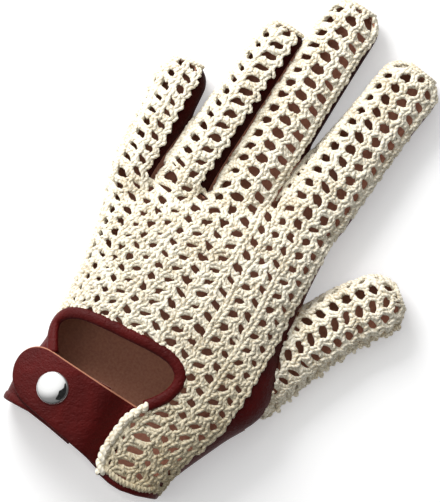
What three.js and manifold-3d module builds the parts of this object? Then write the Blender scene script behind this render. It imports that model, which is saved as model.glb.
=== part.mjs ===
// A left-hand driving glove lying palm down: crocheted cotton back, leather palm, wrist strap and snap.
// Millimetres, +Z up, fingers along +Y, thumb on the +X side. The origin is on the surface it lies on,
// under the middle of the palm.

import * as THREE from "three";
import { mergeVertices } from "three/addons/utils/BufferGeometryUtils.js";
import Module from "manifold-3d";

// Driving dimensions of the hand part
const PALM_WIDTH = 94;
const BODY_LENGTH = 126;
const HAND_HEIGHT = 30;

// Driving dimensions of the fingers and the thumb, each length from the crotch to the tip
const LITTLE_LENGTH = 51.5;
const RING_LENGTH = 73.5;
const MIDDLE_LENGTH = 88.5;
const INDEX_LENGTH = 73;
const THUMB_LENGTH = 66;
const LITTLE_WIDTH = 20.4;
const RING_WIDTH = 19.8;
const MIDDLE_WIDTH = 23.4;
const INDEX_WIDTH = 25.4;
const THUMB_WIDTH = 24;
const FINGER_HEIGHT = 20;
const ROOT_DEPTH = 22;
const TIP_RADIUS = 9.5;

// Walls and clearances
const LEATHER_WALL = 1.3;
const CROCHET_WALL = 2.3;
const GAP = 0.3;

// Seams: heights above the surface, and the knit gaps that pierce the back
const CROCHET_EDGE_Z = 9;
const BODY_EDGE_Z = 11;
const FRONT_EDGE_Z = 4.6;
const MESH_PITCH_ALONG = 11.8;
const MESH_PITCH_ACROSS = 12.4;
const MESH_GAP_ALONG = 4.6;
const MESH_GAP_ACROSS = 5.2;
const MESH_GAP_RISE = 6;

// Keyhole, its binding, and the slit that runs from it to the wrist
const KEYHOLE_WIDTH = 56;
const KEYHOLE_DEPTH = 26;
const BINDING_WIDTH = 4.2;
const BINDING_THICK = 3.2;
const EDGING_DIAMETER = 3.2;
const EDGING_DEPTH = 0.5;
const TAB_LENGTH = 27;

// Strap, hem and snap
const STRAP_WIDTH = 22;
const STRAP_LENGTH = 54;
const STRAP_THICK = 1.8;
const STRAP_SLOPE = -0.165;
const STRAP_FLARE = 0.14;
const STRAP_DIP = 7.5;
const STRAP_LIFT = 0.9;
const STRAP_OVERLAP = 1.9;
const HEM_WIDTH = 3.4;
const HEM_PROUD = 0.5;
const CAP_DIAMETER = 13.2;
const CAP_HEIGHT = 2.4;
const STEM_DIAMETER = 5;
const STUD_DIAMETER = 9;
const STUD_THICK = 1;
const CAP_FROM_END = 18.1;

// Fineness of the faceted surfaces
const FINGER_SIDES = 14;
const BODY_SIDES = 26;
const CORD_SIDES = 6;
const CAP_SIDES = 18;

const MIDLINE = 0.44; // height share at which a section is widest
const SAG = 0.35; // share by which the underside is pressed flat where it rests
const FINGER_SQUARE = 2.2;
const FAR = 60; // past every wall
const SHOULDER_SHARE = 0.86; // where the strap leaves the wrist's curve and runs straight
const STRAP_TIP_PAST = 11.9; // the strap's rounded end past the binding's end
const RAD = Math.PI / 180;

// Sections of the hand from the wrist to the knuckles. Across, half: shares of PALM_WIDTH.
// Along: share of BODY_LENGTH. High: share of HAND_HEIGHT. Turn: degrees. Edge: where the crochet's
// thumb-side edge lies, as a share of half.
const BODY_SECTIONS = [
  { across: -0.157, along: -0.612, half: 0.388, high: 0.9, turn: -8.5, square: 3.2, edge: 0.955 },
  { across: -0.152, along: -0.545, half: 0.394, high: 0.9, turn: -6.5, square: 3.2, edge: 0.955 },
  { across: -0.127, along: -0.472, half: 0.415, high: 0.92, turn: -3.7, square: 3.2, edge: 0.955 },
  { across: -0.066, along: -0.357, half: 0.439, high: 0.96, turn: -1.4, square: 3, edge: 0.93 },
  { across: -0.014, along: -0.215, half: 0.487, high: 1, turn: 0, square: 2.8, edge: 0.79 },
  { across: -0.048, along: -0.036, half: 0.464, high: 1, turn: 3.3, square: 2.6, edge: 0.93 },
  { across: -0.071, along: 0.119, half: 0.468, high: 0.96, turn: 7.5, square: 2.6, edge: 0.985 },
  { across: -0.085, along: 0.23, half: 0.484, high: 0.87, turn: 13, square: 2.6, edge: 0.985 },
  { across: -0.1, along: 0.296, half: 0.503, high: 0.72, turn: 18, square: 2.6, edge: 0.985 },
  { across: -0.104, along: 0.33, half: 0.512, high: 0.52, turn: 20, square: 2.6, edge: 0.985 },
];

// Fingers. Across, along: the crotch's middle as shares of PALM_WIDTH and BODY_LENGTH. Lean: degrees
// towards the thumb. Flare: width at the crotch as a share of its own. Root: how far its buried end is
// moved towards the palm's middle, as a share of its width. Cover: how far over its thumb side the
// crochet reaches, as a share of half width.
const FINGERS = [
  { name: "little", across: -0.496, along: 0.254, lean: -1.6, flare: 0.93, root: 0.38, cover: 0.5,
    length: LITTLE_LENGTH, width: LITTLE_WIDTH },
  { name: "ring", across: -0.296, along: 0.325, lean: 7.4, flare: 1.08, root: 0, cover: 0.45,
    length: RING_LENGTH, width: RING_WIDTH },
  { name: "middle", across: -0.038, along: 0.365, lean: 4, flare: 1.06, root: 0, cover: 0.86,
    length: MIDDLE_LENGTH, width: MIDDLE_WIDTH },
  { name: "index", across: 0.238, along: 0.405, lean: 10.6, flare: 1.19, root: -0.02, cover: 0.96,
    length: INDEX_LENGTH, width: INDEX_WIDTH },
];

// Sections along a finger's shaft, as shares of its length, width and FINGER_HEIGHT
const SHAFT = [
  { at: 0, flared: 1, high: 1.06 },
  { at: 0.3, flared: 0.5, high: 1.02 },
  { at: 0.62, flared: 0, high: 0.94 },
];
const ROOT_WIDE = 0.9;
const ROOT_HIGH = 1.1;
const TIP_HIGH = 0.88;
const DOME_ANGLES = [8, 44, 76];

// The thumb's line from its root in the palm to its tip. Across, along: shares of PALM_WIDTH and
// THUMB_LENGTH, from the thumb's root.
const THUMB_ROOT = { across: 0.305, along: -0.2 };
const THUMB_LINE = [
  { across: 0.03, along: 0, wide: 1.16, high: 0.9, lean: 20 },
  { across: 0.125, along: 0.31, wide: 1.1, high: 0.92, lean: 22 },
  { across: 0.212, along: 0.54, wide: 1.02, high: 0.92, lean: 30 },
  { across: 0.29, along: 0.725, wide: 0.99, high: 0.88, lean: 37 },
];
const THUMB_TIP_TURN = 41;
const THUMB_TIP_RUN = 0.335;
const THUMB_EDGE_Z = 7;

// The binding's line round the keyhole, as shares of half its width and of its depth from its middle
const KEYHOLE_CENTRE = { across: -0.18, along: -0.296 };
const KEYHOLE_LINE = [
  [-0.88, -0.34], [-0.99, -0.12], [-1.035, 0.07], [-1.005, 0.22], [-0.91, 0.33], [-0.74, 0.4],
  [-0.43, 0.435], [-0.04, 0.446], [0.32, 0.458], [0.6, 0.435], [0.776, 0.358], [0.87, 0.242],
  [0.89, 0.09], [0.84, -0.085], [0.733, -0.258], [0.622, -0.39],
];

// The crochet flap's free edge beside the strap, from the keyhole to the wrist
const FLAP_LINE = [
  [0.572, -0.508], [0.483, -0.692], [0.436, -0.912], [0.415, -1.142], [0.419, -1.335],
  [0.454, -1.488], [0.472, -1.585],
];

const wasm = await Module();
wasm.setup();

// A closed mesh, given as points and triangles, as a solid with its faces pointing out.
function solidOf(points, triangles) {
  const flat = new Float32Array(points.flatMap((p) => [p.x, p.y, p.z]));
  const geometry = new THREE.BufferGeometry()
    .setAttribute("position", new THREE.BufferAttribute(flat, 3))
    .setIndex(triangles);
  return solidOfGeometry(geometry);
}

function solidOfGeometry(geometry) {
  const bare = geometry.clone();
  bare.deleteAttribute("normal");
  bare.deleteAttribute("uv");
  const merged = mergeVertices(bare, 1e-4);
  const vertProperties = new Float32Array(merged.attributes.position.array);
  const make = (triVerts) =>
    new wasm.Manifold(new wasm.Mesh({ numProp: 3, vertProperties, triVerts }));
  const triVerts = new Uint32Array(merged.index.array);
  const solid = make(triVerts);
  return solid.volume() < 0 ? make(triVerts.slice().reverse()) : solid;
}

// A solid as a three.js geometry.
function geometryOf(solid) {
  const mesh = solid.getMesh();
  const points = new Float32Array(mesh.numVert * 3);
  for (let i = 0; i < mesh.numVert; i++)
    points.set(mesh.vertProperties.subarray(i * mesh.numProp, i * mesh.numProp + 3), i * 3);
  const geometry = new THREE.BufferGeometry()
    .setAttribute("position", new THREE.BufferAttribute(points, 3))
    .setIndex(new THREE.BufferAttribute(mesh.triVerts, 1))
    .toNonIndexed();
  geometry.computeVertexNormals();
  return geometry;
}

// Rings of equally many points, joined into a closed solid with flat ends.
function loft(rings) {
  const count = rings[0].length;
  const points = rings.flat();
  const triangles = [];
  rings.slice(1).forEach((ring, k) => {
    for (let i = 0; i < count; i++) {
      const a = k * count + i;
      const b = k * count + ((i + 1) % count);
      triangles.push(a, b + count, b, a, a + count, b + count);
    }
  });
  [0, rings.length - 1].forEach((k) => {
    const hub = points.length;
    const middle = new THREE.Vector3();
    rings[k].forEach((p) => middle.addScaledVector(p, 1 / count));
    points.push(middle);
    for (let i = 0; i < count; i++) {
      const a = k * count + i;
      const b = k * count + ((i + 1) % count);
      if (k === 0) triangles.push(hub, a, b);
      else triangles.push(hub, b, a);
    }
  });
  return solidOf(points, triangles);
}

const unionOf = (solids) => solids.reduce((a, b) => a.add(b));

// A signed power, which squares off a circle's cosine or sine.
const squared = (value, square) => Math.sign(value) * Math.abs(value) ** (2 / square);

// A point of a section's own plane, in the glove's frame.
function inPlane(section, across, z) {
  const turn = section.turn * RAD;
  return new THREE.Vector3(
    section.x + across * Math.cos(turn),
    section.y + across * Math.sin(turn),
    z,
  );
}

// The outline point of a section at an angle, 0 on the thumb side and 90 on top. Skin is how much
// the outline shrinks at the sides, above and below; a negative skin grows it.
function outlineAt(section, angle, skin) {
  const half = section.half - skin.side;
  const top = section.top - skin.above;
  const floor = section.bottom + skin.below;
  const mid = floor + (top - floor) * MIDLINE;
  const c = squared(Math.cos(angle), section.square);
  const s = squared(Math.sin(angle), section.square);
  const z = s >= 0 ? mid + (top - mid) * s : mid + (mid - floor) * (1 + SAG) * s;
  return { across: half * c, z: Math.max(z, floor) };
}

function ringOf(section, sides, skin) {
  return Array.from({ length: sides }, (_, i) => {
    const p = outlineAt(section, (2 * Math.PI * i) / sides, skin);
    return inPlane(section, p.across, p.z);
  });
}

const NO_SKIN = { side: 0, above: 0, below: 0 };
const WALL_SKIN = { side: LEATHER_WALL, above: CROCHET_WALL, below: LEATHER_WALL };
const THUMB_SKIN = { side: CROCHET_WALL, above: CROCHET_WALL, below: LEATHER_WALL };
const GROWN = { side: -GAP, above: -GAP, below: -GAP };

const bodySections = BODY_SECTIONS.map((row) => ({
  x: row.across * PALM_WIDTH,
  y: row.along * BODY_LENGTH,
  turn: row.turn,
  half: row.half * PALM_WIDTH,
  top: row.high * HAND_HEIGHT,
  bottom: 0,
  square: row.square,
  edge: row.edge,
}));

// The same section moved along the hand, across its own plane.
function shifted(section, distance) {
  const turn = section.turn * RAD;
  return {
    ...section,
    x: section.x - distance * Math.sin(turn),
    y: section.y + distance * Math.cos(turn),
  };
}

// A dome's sections past the end of a shaft that points along lean, from its own tip.
function domeSections(tip, lean, half, top, radius) {
  return DOME_ANGLES.map((degrees) => {
    const back = radius * (1 - Math.sin(degrees * RAD));
    const share = Math.cos(degrees * RAD);
    const middle = top * MIDLINE;
    return {
      x: tip.x - back * Math.sin(lean * RAD),
      y: tip.y - back * Math.cos(lean * RAD),
      turn: -lean,
      half: half * share,
      top: middle + (top - middle) * share,
      bottom: middle * (1 - share),
      square: FINGER_SQUARE,
    };
  });
}

function fingerSections(finger) {
  const root = { x: finger.across * PALM_WIDTH, y: finger.along * BODY_LENGTH };
  const onLine = (distance) => ({
    x: root.x + distance * Math.sin(finger.lean * RAD),
    y: root.y + distance * Math.cos(finger.lean * RAD),
  });
  const section = (distance, wide, high) => ({
    ...onLine(distance),
    turn: -finger.lean,
    half: (finger.width / 2) * wide,
    top: FINGER_HEIGHT * high,
    bottom: 0,
    square: FINGER_SQUARE,
  });
  const buried = section(-ROOT_DEPTH, ROOT_WIDE, ROOT_HIGH);
  buried.x += finger.root * finger.width;
  return [
    buried,
    ...SHAFT.map((row) => section(finger.length * row.at, 1 + row.flared * (finger.flare - 1), row.high)),
    ...domeSections(
      onLine(finger.length),
      finger.lean,
      finger.width / 2,
      FINGER_HEIGHT * TIP_HIGH,
      TIP_RADIUS,
    ),
  ];
}

function thumbSections() {
  const root = { x: THUMB_ROOT.across * PALM_WIDTH, y: THUMB_ROOT.along * BODY_LENGTH };
  const shaft = THUMB_LINE.map((row) => ({
    x: root.x + row.across * PALM_WIDTH,
    y: root.y + row.along * THUMB_LENGTH,
    turn: -row.lean,
    half: (THUMB_WIDTH / 2) * row.wide,
    top: FINGER_HEIGHT * row.high,
    bottom: 0,
    square: FINGER_SQUARE,
  }));
  const last = shaft[shaft.length - 1];
  const run = THUMB_LENGTH * THUMB_TIP_RUN;
  const tip = {
    x: last.x + run * Math.sin(THUMB_TIP_TURN * RAD),
    y: last.y + run * Math.cos(THUMB_TIP_TURN * RAD),
  };
  return [...shaft, ...domeSections(tip, THUMB_TIP_TURN, last.half, last.top, TIP_RADIUS)];
}

// The dome's first ring already stands near the shaft's end, so a hollow is the same loft, thinner.
function hollowOf(sections, sides, skin) {
  const shrunk = sections.map((s) => ({ ...s, half: Math.max(s.half, 2 * skin.side) }));
  const kept = shrunk.filter((s) => s.top - s.bottom > 2.2 * (skin.above + skin.below));
  return loft(kept.map((s) => ringOf(s, sides, skin)));
}

const outerOf = (sections, sides, skin) => loft(sections.map((s) => ringOf(s, sides, skin)));

// A cutter with a straight-sided section: from left to right across, and from low up.
function slab(sections, box) {
  return loft(
    sections.map((section) => {
      const { left, right, low, high } = box(section);
      return [
        inPlane(section, right, low),
        inPlane(section, right, high),
        inPlane(section, left, high),
        inPlane(section, left, low),
      ];
    }),
  );
}

// The upright prism over a closed outline in plan, from low to high.
function prism(outline, low, high) {
  const shape = new THREE.Shape(outline.map((p) => new THREE.Vector2(p.x, p.y)));
  const geometry = new THREE.ExtrudeGeometry(shape, { depth: high - low, bevelEnabled: false });
  return solidOfGeometry(geometry.translate(0, 0, low));
}

// The hand's section at a place along it, between the two nearest rows.
function sectionAt(y) {
  const rows = bodySections;
  let k = rows.findIndex((s) => s.y > y);
  if (k < 0) k = rows.length - 1;
  k = Math.max(k, 1);
  const a = rows[k - 1];
  const b = rows[k];
  const t = (y - a.y) / (b.y - a.y);
  const mixed = {};
  Object.keys(a).forEach((key) => {
    mixed[key] = a[key] + (b[key] - a[key]) * t;
  });
  return { ...mixed, y, turn: 0 };
}

// The height of the glove's back at a place in plan.
function backHeight(x, y) {
  const turned = sectionAt(y);
  const lift = Math.tan(-turned.turn * RAD) * (x - turned.x);
  const s = sectionAt(y + lift);
  const share = Math.min(Math.abs(x - s.x) / s.half, 0.985);
  const mid = s.top * MIDLINE;
  return mid + (s.top - mid) * (1 - share ** s.square) ** (1 / s.square);
}

// The forms
const fingers = FINGERS.map((finger) => ({ ...finger, sections: fingerSections(finger) }));
const thumb = thumbSections();
const wristEnd = shifted(bodySections[0], -FAR);
const hollow = unionOf([
  outerOf([wristEnd, ...bodySections.slice(0, -1), shifted(bodySections.at(-1), -LEATHER_WALL)],
    BODY_SIDES, WALL_SKIN),
  ...fingers.map((f) => hollowOf(f.sections, FINGER_SIDES, WALL_SKIN)),
  hollowOf(thumb, FINGER_SIDES, THUMB_SKIN),
]);
const body = outerOf(bodySections, BODY_SIDES, NO_SKIN);
const hand = unionOf([body, ...fingers.map((f) => outerOf(f.sections, FINGER_SIDES, NO_SKIN))]);
const shell = hand.subtract(hollow);

// Where the back is crochet, grown by some clearance
function crochetZone(grow) {
  const end = shifted(bodySections.at(-1), -LEATHER_WALL - 1);
  const back = slab([wristEnd, ...bodySections.slice(0, -1), end].map((s) => shifted(s, grow)),
    (s) => ({ left: -s.half - FAR, right: s.half * s.edge + grow, low: BODY_EDGE_Z - grow, high: FAR }));
  const shafts = fingers.map((finger) => {
    const rows = finger.sections.slice(0, SHAFT.length + 2);
    const past = { ...shifted(rows.at(-1), TIP_RADIUS * 2), whole: true };
    const start = { ...shifted(past, -TIP_RADIUS * 2.1), half: rows.at(-1).half };
    return slab([...rows.slice(0, -1), start, past], (s) => ({
      left: -s.half - GAP - grow,
      right: s.half * (s.whole ? 1.2 : finger.cover) + grow,
      low: CROCHET_EDGE_Z - grow,
      high: FAR,
    }));
  });
  return unionOf([back, ...shafts]);
}

const toPlan = ([u, v]) => ({
  x: KEYHOLE_CENTRE.across * PALM_WIDTH + (u * KEYHOLE_WIDTH) / 2,
  y: KEYHOLE_CENTRE.along * BODY_LENGTH + v * KEYHOLE_DEPTH,
});

// A smooth line through points in plan, as a number of evenly spaced points.
function smoothPlan(points, steps) {
  const plan = new THREE.CatmullRomCurve3(points.map((p) => new THREE.Vector3(p.x, p.y, 0)));
  return plan.getSpacedPoints(steps);
}

// That line laid on the back, at a depth under its surface.
function lineOnBack(points, steps, depth) {
  return smoothPlan(points, steps).map((p) => {
    p.z = backHeight(p.x, p.y) - depth;
    return p;
  });
}

// Points in plan, moved sideways to the left of their direction.
function offsetPlan(points, distance) {
  return points.map((p, i) => {
    const before = points[Math.max(i - 1, 0)];
    const after = points[Math.min(i + 1, points.length - 1)];
    const along = new THREE.Vector2(after.x - before.x, after.y - before.y).normalize();
    return { x: p.x - along.y * distance, y: p.y + along.x * distance };
  });
}

// A rounded cord swept along a line.
function sweep(points, width, thick) {
  const shape = new THREE.Shape(
    Array.from({ length: CORD_SIDES }, (_, i) => {
      const angle = (2 * Math.PI * (i + 0.5)) / CORD_SIDES;
      return new THREE.Vector2((thick / 2) * Math.cos(angle), (width / 2) * Math.sin(angle));
    }),
  );
  const path = new THREE.CatmullRomCurve3(points);
  return solidOfGeometry(
    new THREE.ExtrudeGeometry(shape, { steps: points.length, extrudePath: path, bevelEnabled: false }),
  );
}

// The keyhole and the slit under the strap, as one cutter grown by some clearance
const bindingPlan = KEYHOLE_LINE.map(toPlan);
const flapPlan = FLAP_LINE.map(toPlan);
const tabEdge = bindingPlan[0].x + TAB_LENGTH;
function keyholeCutter(grow) {
  const round = offsetPlan(smoothPlan(bindingPlan, 30), grow);
  const flap = offsetPlan(smoothPlan(flapPlan, 10), grow);
  const outline = [
    ...round,
    ...flap,
    { x: flap.at(-1).x, y: -BODY_LENGTH },
    { x: tabEdge, y: -BODY_LENGTH },
    { x: tabEdge, y: round[0].y - LEATHER_WALL },
    { x: round[0].x, y: round[0].y - LEATHER_WALL },
  ];
  return prism(outline, HAND_HEIGHT * 0.55, FAR);
}

// The gaps that show through the crochet, one prism each, leaning in turn to either side
function meshGap(place, outward, slant) {
  const side = new THREE.Vector3(0, 1, 0).cross(outward).normalize();
  const along = outward.clone().cross(side).normalize();
  const corners = [[-1, 0], [0, -1], [1, 0], [0, 1]];
  const ends = [-CROCHET_WALL * 2, CROCHET_WALL * 2];
  return loft(
    ends.map((depth) =>
      corners.map(([u, v]) =>
        place
          .clone()
          .addScaledVector(side, (u * MESH_GAP_ACROSS) / 2)
          .addScaledVector(along, ((v + slant * u) * MESH_GAP_ALONG) / 2)
          .addScaledVector(outward, depth),
      ),
    ),
  );
}

// Gap prisms in columns on a form, at angles over its section, between two places along it.
function gapsOn(sectionOf, angles, from, to, allowed) {
  const gaps = [];
  angles.forEach((angle, column) => {
    const slant = column % 2 ? 0.45 : -0.45;
    const stagger = column % 2 ? MESH_PITCH_ALONG / 2 : 0;
    for (let at = from + stagger; at <= to; at += MESH_PITCH_ALONG) {
      const section = sectionOf(at);
      const p = outlineAt(section, angle, NO_SKIN);
      const q = outlineAt(section, angle + 0.02, NO_SKIN);
      const place = inPlane(section, p.across, p.z);
      const ahead = inPlane(section, q.across, q.z).sub(place).normalize();
      const outward = ahead.cross(new THREE.Vector3(0, 1, 0)).normalize();
      if (outward.z < 0 && p.z > section.top * MIDLINE) outward.negate();
      if (allowed(place)) gaps.push(meshGap(place, outward, slant));
    }
  });
  return gaps;
}

// A finger's section at a distance from its crotch.
function fingerSectionAt(sections, length) {
  return (distance) => {
    const rows = sections.map((s) => ({ ...s, at: Math.hypot(s.x - sections[0].x, s.y - sections[0].y) }));
    const at = distance + length;
    const k = Math.max(rows.findIndex((s) => s.at > at), 1);
    const t = (at - rows[k - 1].at) / (rows[k].at - rows[k - 1].at);
    const mixed = {};
    Object.keys(rows[0]).forEach((key) => {
      mixed[key] = rows[k - 1][key] + (rows[k][key] - rows[k - 1][key]) * t;
    });
    return mixed;
  };
}

const flapEdgeX = Math.max(...flapPlan.map((p) => p.x));
const keyholeRight = toPlan([1, 0]).x + BINDING_WIDTH + MESH_GAP_ACROSS;
const keyholeTop = toPlan([0, 0.48]).y + BINDING_WIDTH + MESH_GAP_ALONG;
const bodyColumns = Math.floor((PALM_WIDTH * 0.92) / MESH_PITCH_ACROSS);
const bodyGaps = Array.from({ length: bodyColumns }, (_, i) => {
  const share = 1 - (2 * (i + 0.5)) / bodyColumns;
  const angle = Math.acos(Math.sign(share) * Math.abs(share) ** (2.6 / 2));
  const sectionOf = (y) => sectionAt(y);
  return gapsOn(sectionOf, [angle], -BODY_LENGTH * 0.57, BODY_LENGTH * 0.27, (p) => {
    const pastKeyhole = p.y > keyholeTop || p.x > Math.max(keyholeRight, flapEdgeX);
    const s = sectionAt(p.y);
    return pastKeyhole && p.x < s.x + s.half * s.edge - MESH_GAP_ACROSS && p.z > BODY_EDGE_Z + MESH_GAP_RISE;
  });
}).flat();
const FINGER_GAP_ANGLES = [68, 122].map((degrees) => degrees * RAD);
const fingerGaps = fingers.flatMap((f) =>
  gapsOn(fingerSectionAt(f.sections, ROOT_DEPTH), FINGER_GAP_ANGLES, MESH_PITCH_ALONG * 0.4,
    f.length - TIP_RADIUS, () => true),
);
const thumbGaps = gapsOn(fingerSectionAt(thumb, 0), FINGER_GAP_ANGLES, THUMB_LENGTH * 0.45,
  THUMB_LENGTH * 0.95, () => true);

// Crochet back
const crochet = crochetZone(0);
const crochetGrown = crochetZone(GAP);
const tabBlock = prism(
  [
    { x: -PALM_WIDTH, y: -BODY_LENGTH },
    { x: tabEdge + GAP, y: -BODY_LENGTH },
    { x: tabEdge + GAP, y: bindingPlan[0].y },
    { x: bindingPlan[1].x, y: bindingPlan[2].y },
    { x: -PALM_WIDTH, y: bindingPlan[3].y },
  ],
  0,
  FAR,
);
const hemStart = shifted(bodySections[0], HEM_WIDTH);
const hemBlock = slab([shifted(wristEnd, -FAR), hemStart], () => (
  { left: -PALM_WIDTH, right: PALM_WIDTH, low: -FAR, high: FAR }));
const hemBlockGrown = slab([shifted(wristEnd, -FAR), shifted(hemStart, GAP)], () => (
  { left: -PALM_WIDTH, right: PALM_WIDTH, low: -FAR, high: FAR }));
const edgeCut = keyholeCutter(BINDING_WIDTH / 2 + GAP);
const crochetBack = shell
  .intersect(crochet)
  .subtract(tabBlock)
  .subtract(edgeCut)
  .subtract(hemBlockGrown)
  .subtract(unionOf([...bodyGaps, ...fingerGaps]));

// Side strips between the fingers, each running round its crotch
function stripZone(near, far, grow) {
  const stripOf = (finger, side) => {
    const rows = finger.sections.slice(0, SHAFT.length + 2);
    const start = shifted(rows[1], -LEATHER_WALL - 1.4 - grow);
    return slab([start, ...rows.slice(1)], (s) => ({
      left: side > 0 ? 0 : -s.half - GAP,
      right: side > 0 ? s.half + GAP : 0,
      low: FRONT_EDGE_Z - grow,
      high: FAR,
    }));
  };
  const a = near.sections[1];
  const b = far.sections[1];
  const crotch = prism(
    [
      { x: a.x, y: a.y - FAR / 10 },
      { x: b.x, y: b.y - FAR / 10 },
      { x: b.x, y: b.y + TIP_RADIUS },
      { x: a.x, y: a.y + TIP_RADIUS },
    ],
    FRONT_EDGE_Z - grow,
    FAR,
  );
  return unionOf([stripOf(near, 1), stripOf(far, -1), crotch]);
}

const pairs = fingers.slice(1).map((finger, i) => ({ near: fingers[i], far: finger }));
const strips = pairs.map(({ near, far }) => ({
  name: `side_strip_${near.name}_${far.name}`,
  solid: shell.intersect(stripZone(near, far, 0)).subtract(crochetGrown),
}));
const stripsGrown = unionOf(pairs.map(({ near, far }) => stripZone(near, far, GAP)));

// Thumb, sewn into the palm's side
const thumbShell = outerOf(thumb, FINGER_SIDES, NO_SKIN)
  .subtract(hollow)
  .subtract(outerOf(bodySections, BODY_SIDES, GROWN));
const thumbZone = (grow) =>
  slab([...thumb.slice(0, THUMB_LINE.length), shifted(thumb.at(-1), TIP_RADIUS)], (s) => ({
    left: -THUMB_WIDTH, right: THUMB_WIDTH, low: THUMB_EDGE_Z - grow, high: FAR,
  }));
const thumbBack = thumbShell.intersect(thumbZone(0)).subtract(unionOf(thumbGaps));
const thumbFront = thumbShell.subtract(thumbZone(GAP));

// Leather palm with the finger fronts, the wrapped sides and the tab under the strap
const tabRest = crochetGrown.subtract(tabBlock);
const palm = shell.subtract(tabRest).subtract(stripsGrown).subtract(edgeCut).subtract(hemBlockGrown);

// Hem round the wrist, open at the slit
const hem = outerOf([shifted(bodySections[0], -GAP), hemStart], BODY_SIDES,
  { side: -HEM_PROUD, above: -HEM_PROUD, below: 0 })
  .subtract(hollow)
  .subtract(edgeCut);

// Binding round the keyhole, and the crochet flap's thick edge
const binding = sweep(lineOnBack(bindingPlan, 30, CROCHET_WALL / 2), BINDING_WIDTH, BINDING_THICK);
const edging = sweep(lineOnBack(flapPlan, 10, EDGING_DEPTH), EDGING_DIAMETER, EDGING_DIAMETER);

// Strap: a band over the wrist's back that dips under the crochet flap, its other end rounded
const strapEndX = bindingPlan[0].x - STRAP_TIP_PAST;
const strapMiddle = (x) => ({
  y: bindingPlan[0].y - STRAP_WIDTH / 2 + STRAP_OVERLAP + STRAP_SLOPE * (x - strapEndX),
  half: STRAP_WIDTH / 2 + STRAP_FLARE * (x - strapEndX) * 0.5,
});

// The height of the strap's underside: on the back, straight past its shoulder, and under the flap.
function strapUnder(x, y) {
  const s = sectionAt(y);
  const shoulder = s.x - s.half * SHOULDER_SHARE;
  const onBack = (at) => backHeight(at, y) + STRAP_LIFT;
  if (x < shoulder) {
    const slope = onBack(shoulder + 1) - onBack(shoulder);
    return onBack(shoulder) + slope * (x - shoulder);
  }
  const dip = THREE.MathUtils.smoothstep(x, tabEdge - STRAP_THICK, tabEdge + STRAP_DIP);
  return onBack(x) - dip * (CROCHET_WALL + STRAP_THICK + STRAP_LIFT + GAP);
}

function strapRing(x, grow) {
  const { y, half } = strapMiddle(x);
  const round = Math.min((x - strapEndX) / half, 1);
  const reach = half * Math.sqrt(Math.max(1 - (1 - round) ** 2, 0.04));
  const places = [-1, -0.5, 0, 0.5, 1].map((share) => y + share * (reach + grow));
  const under = places.map((at) => new THREE.Vector3(x, at, strapUnder(x, at) - grow));
  const over = places.map((at) => new THREE.Vector3(x, at, strapUnder(x, at) + STRAP_THICK + grow));
  return [...under, ...over.reverse()];
}

const STRAP_STATIONS = [0.004, 0.03, 0.08, 0.15, 0.24, 0.4, 0.58, 0.68, 0.73, 0.78, 0.84, 1];
const bandOf = (grow) =>
  loft(STRAP_STATIONS.map((share) => strapRing(strapEndX + share * (STRAP_LENGTH + grow), grow)));
const strapBand = bandOf(0);

// Snap: a domed cap on the strap, its stem through the strap and the tab, and a stud ring inside
const capX = strapEndX + CAP_FROM_END;
const capY = strapMiddle(capX).y;
const capPlace = new THREE.Vector3(capX, capY, strapUnder(capX, capY) + STRAP_THICK);
const capAlongX = new THREE.Vector3(1, 0, strapUnder(capX + 1, capY) - strapUnder(capX, capY));
const capAlongY = new THREE.Vector3(0, 1, strapUnder(capX, capY + 1) - strapUnder(capX, capY));
const capAxis = capAlongX.cross(capAlongY).normalize();
const capTurn = new THREE.Quaternion().setFromUnitVectors(new THREE.Vector3(0, 1, 0), capAxis);

// A turned solid from its profile of radius and height, standing on the strap along the snap's axis.
function turned(profile) {
  const points = profile.map(([radius, height]) => new THREE.Vector2(radius, height));
  const geometry = new THREE.LatheGeometry(points, CAP_SIDES).applyQuaternion(capTurn);
  return solidOfGeometry(geometry.translate(capPlace.x, capPlace.y, capPlace.z));
}

const capRadius = CAP_DIAMETER / 2;
const stemLow = -STRAP_THICK - STRAP_LIFT - CROCHET_WALL - 3 * GAP - STUD_THICK;
const cap = turned([
  [0, stemLow],
  [STEM_DIAMETER / 2, stemLow],
  [STEM_DIAMETER / 2, GAP],
  [capRadius, GAP],
  [capRadius, GAP + CAP_HEIGHT * 0.3],
  [capRadius * 0.94, GAP + CAP_HEIGHT * 0.55],
  [capRadius * 0.72, GAP + CAP_HEIGHT * 0.82],
  [capRadius * 0.4, GAP + CAP_HEIGHT * 0.96],
  [0, GAP + CAP_HEIGHT],
]);
const stemBore = turned([
  [0, stemLow - 1],
  [STEM_DIAMETER / 2 + GAP, stemLow - 1],
  [STEM_DIAMETER / 2 + GAP, GAP],
  [0, GAP],
]);
const stud = turned([
  [0, stemLow],
  [STUD_DIAMETER / 2, stemLow],
  [STUD_DIAMETER / 2, stemLow + STUD_THICK],
  [0, stemLow + STUD_THICK],
]).subtract(stemBore);
const strap = strapBand.subtract(stemBore);

const materials = {
  crochet: new THREE.MeshStandardMaterial({ color: 0xe9dfc6, roughness: 0.95, metalness: 0 }),
  leather: new THREE.MeshStandardMaterial({ color: 0x57191a, roughness: 0.55, metalness: 0 }),
  metal: new THREE.MeshStandardMaterial({ color: 0xe6e6e6, roughness: 0.12, metalness: 1 }),
};

// Each piece keeps its one body: the seams' cuts leave slivers of under a few cubic millimetres.
const glove = new THREE.Group();
function add(name, solid, material) {
  const bodies = solid.decompose().sort((a, b) => b.volume() - a.volume());
  const mesh = new THREE.Mesh(geometryOf(bodies[0]), material);
  mesh.name = name;
  glove.add(mesh);
}

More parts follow.
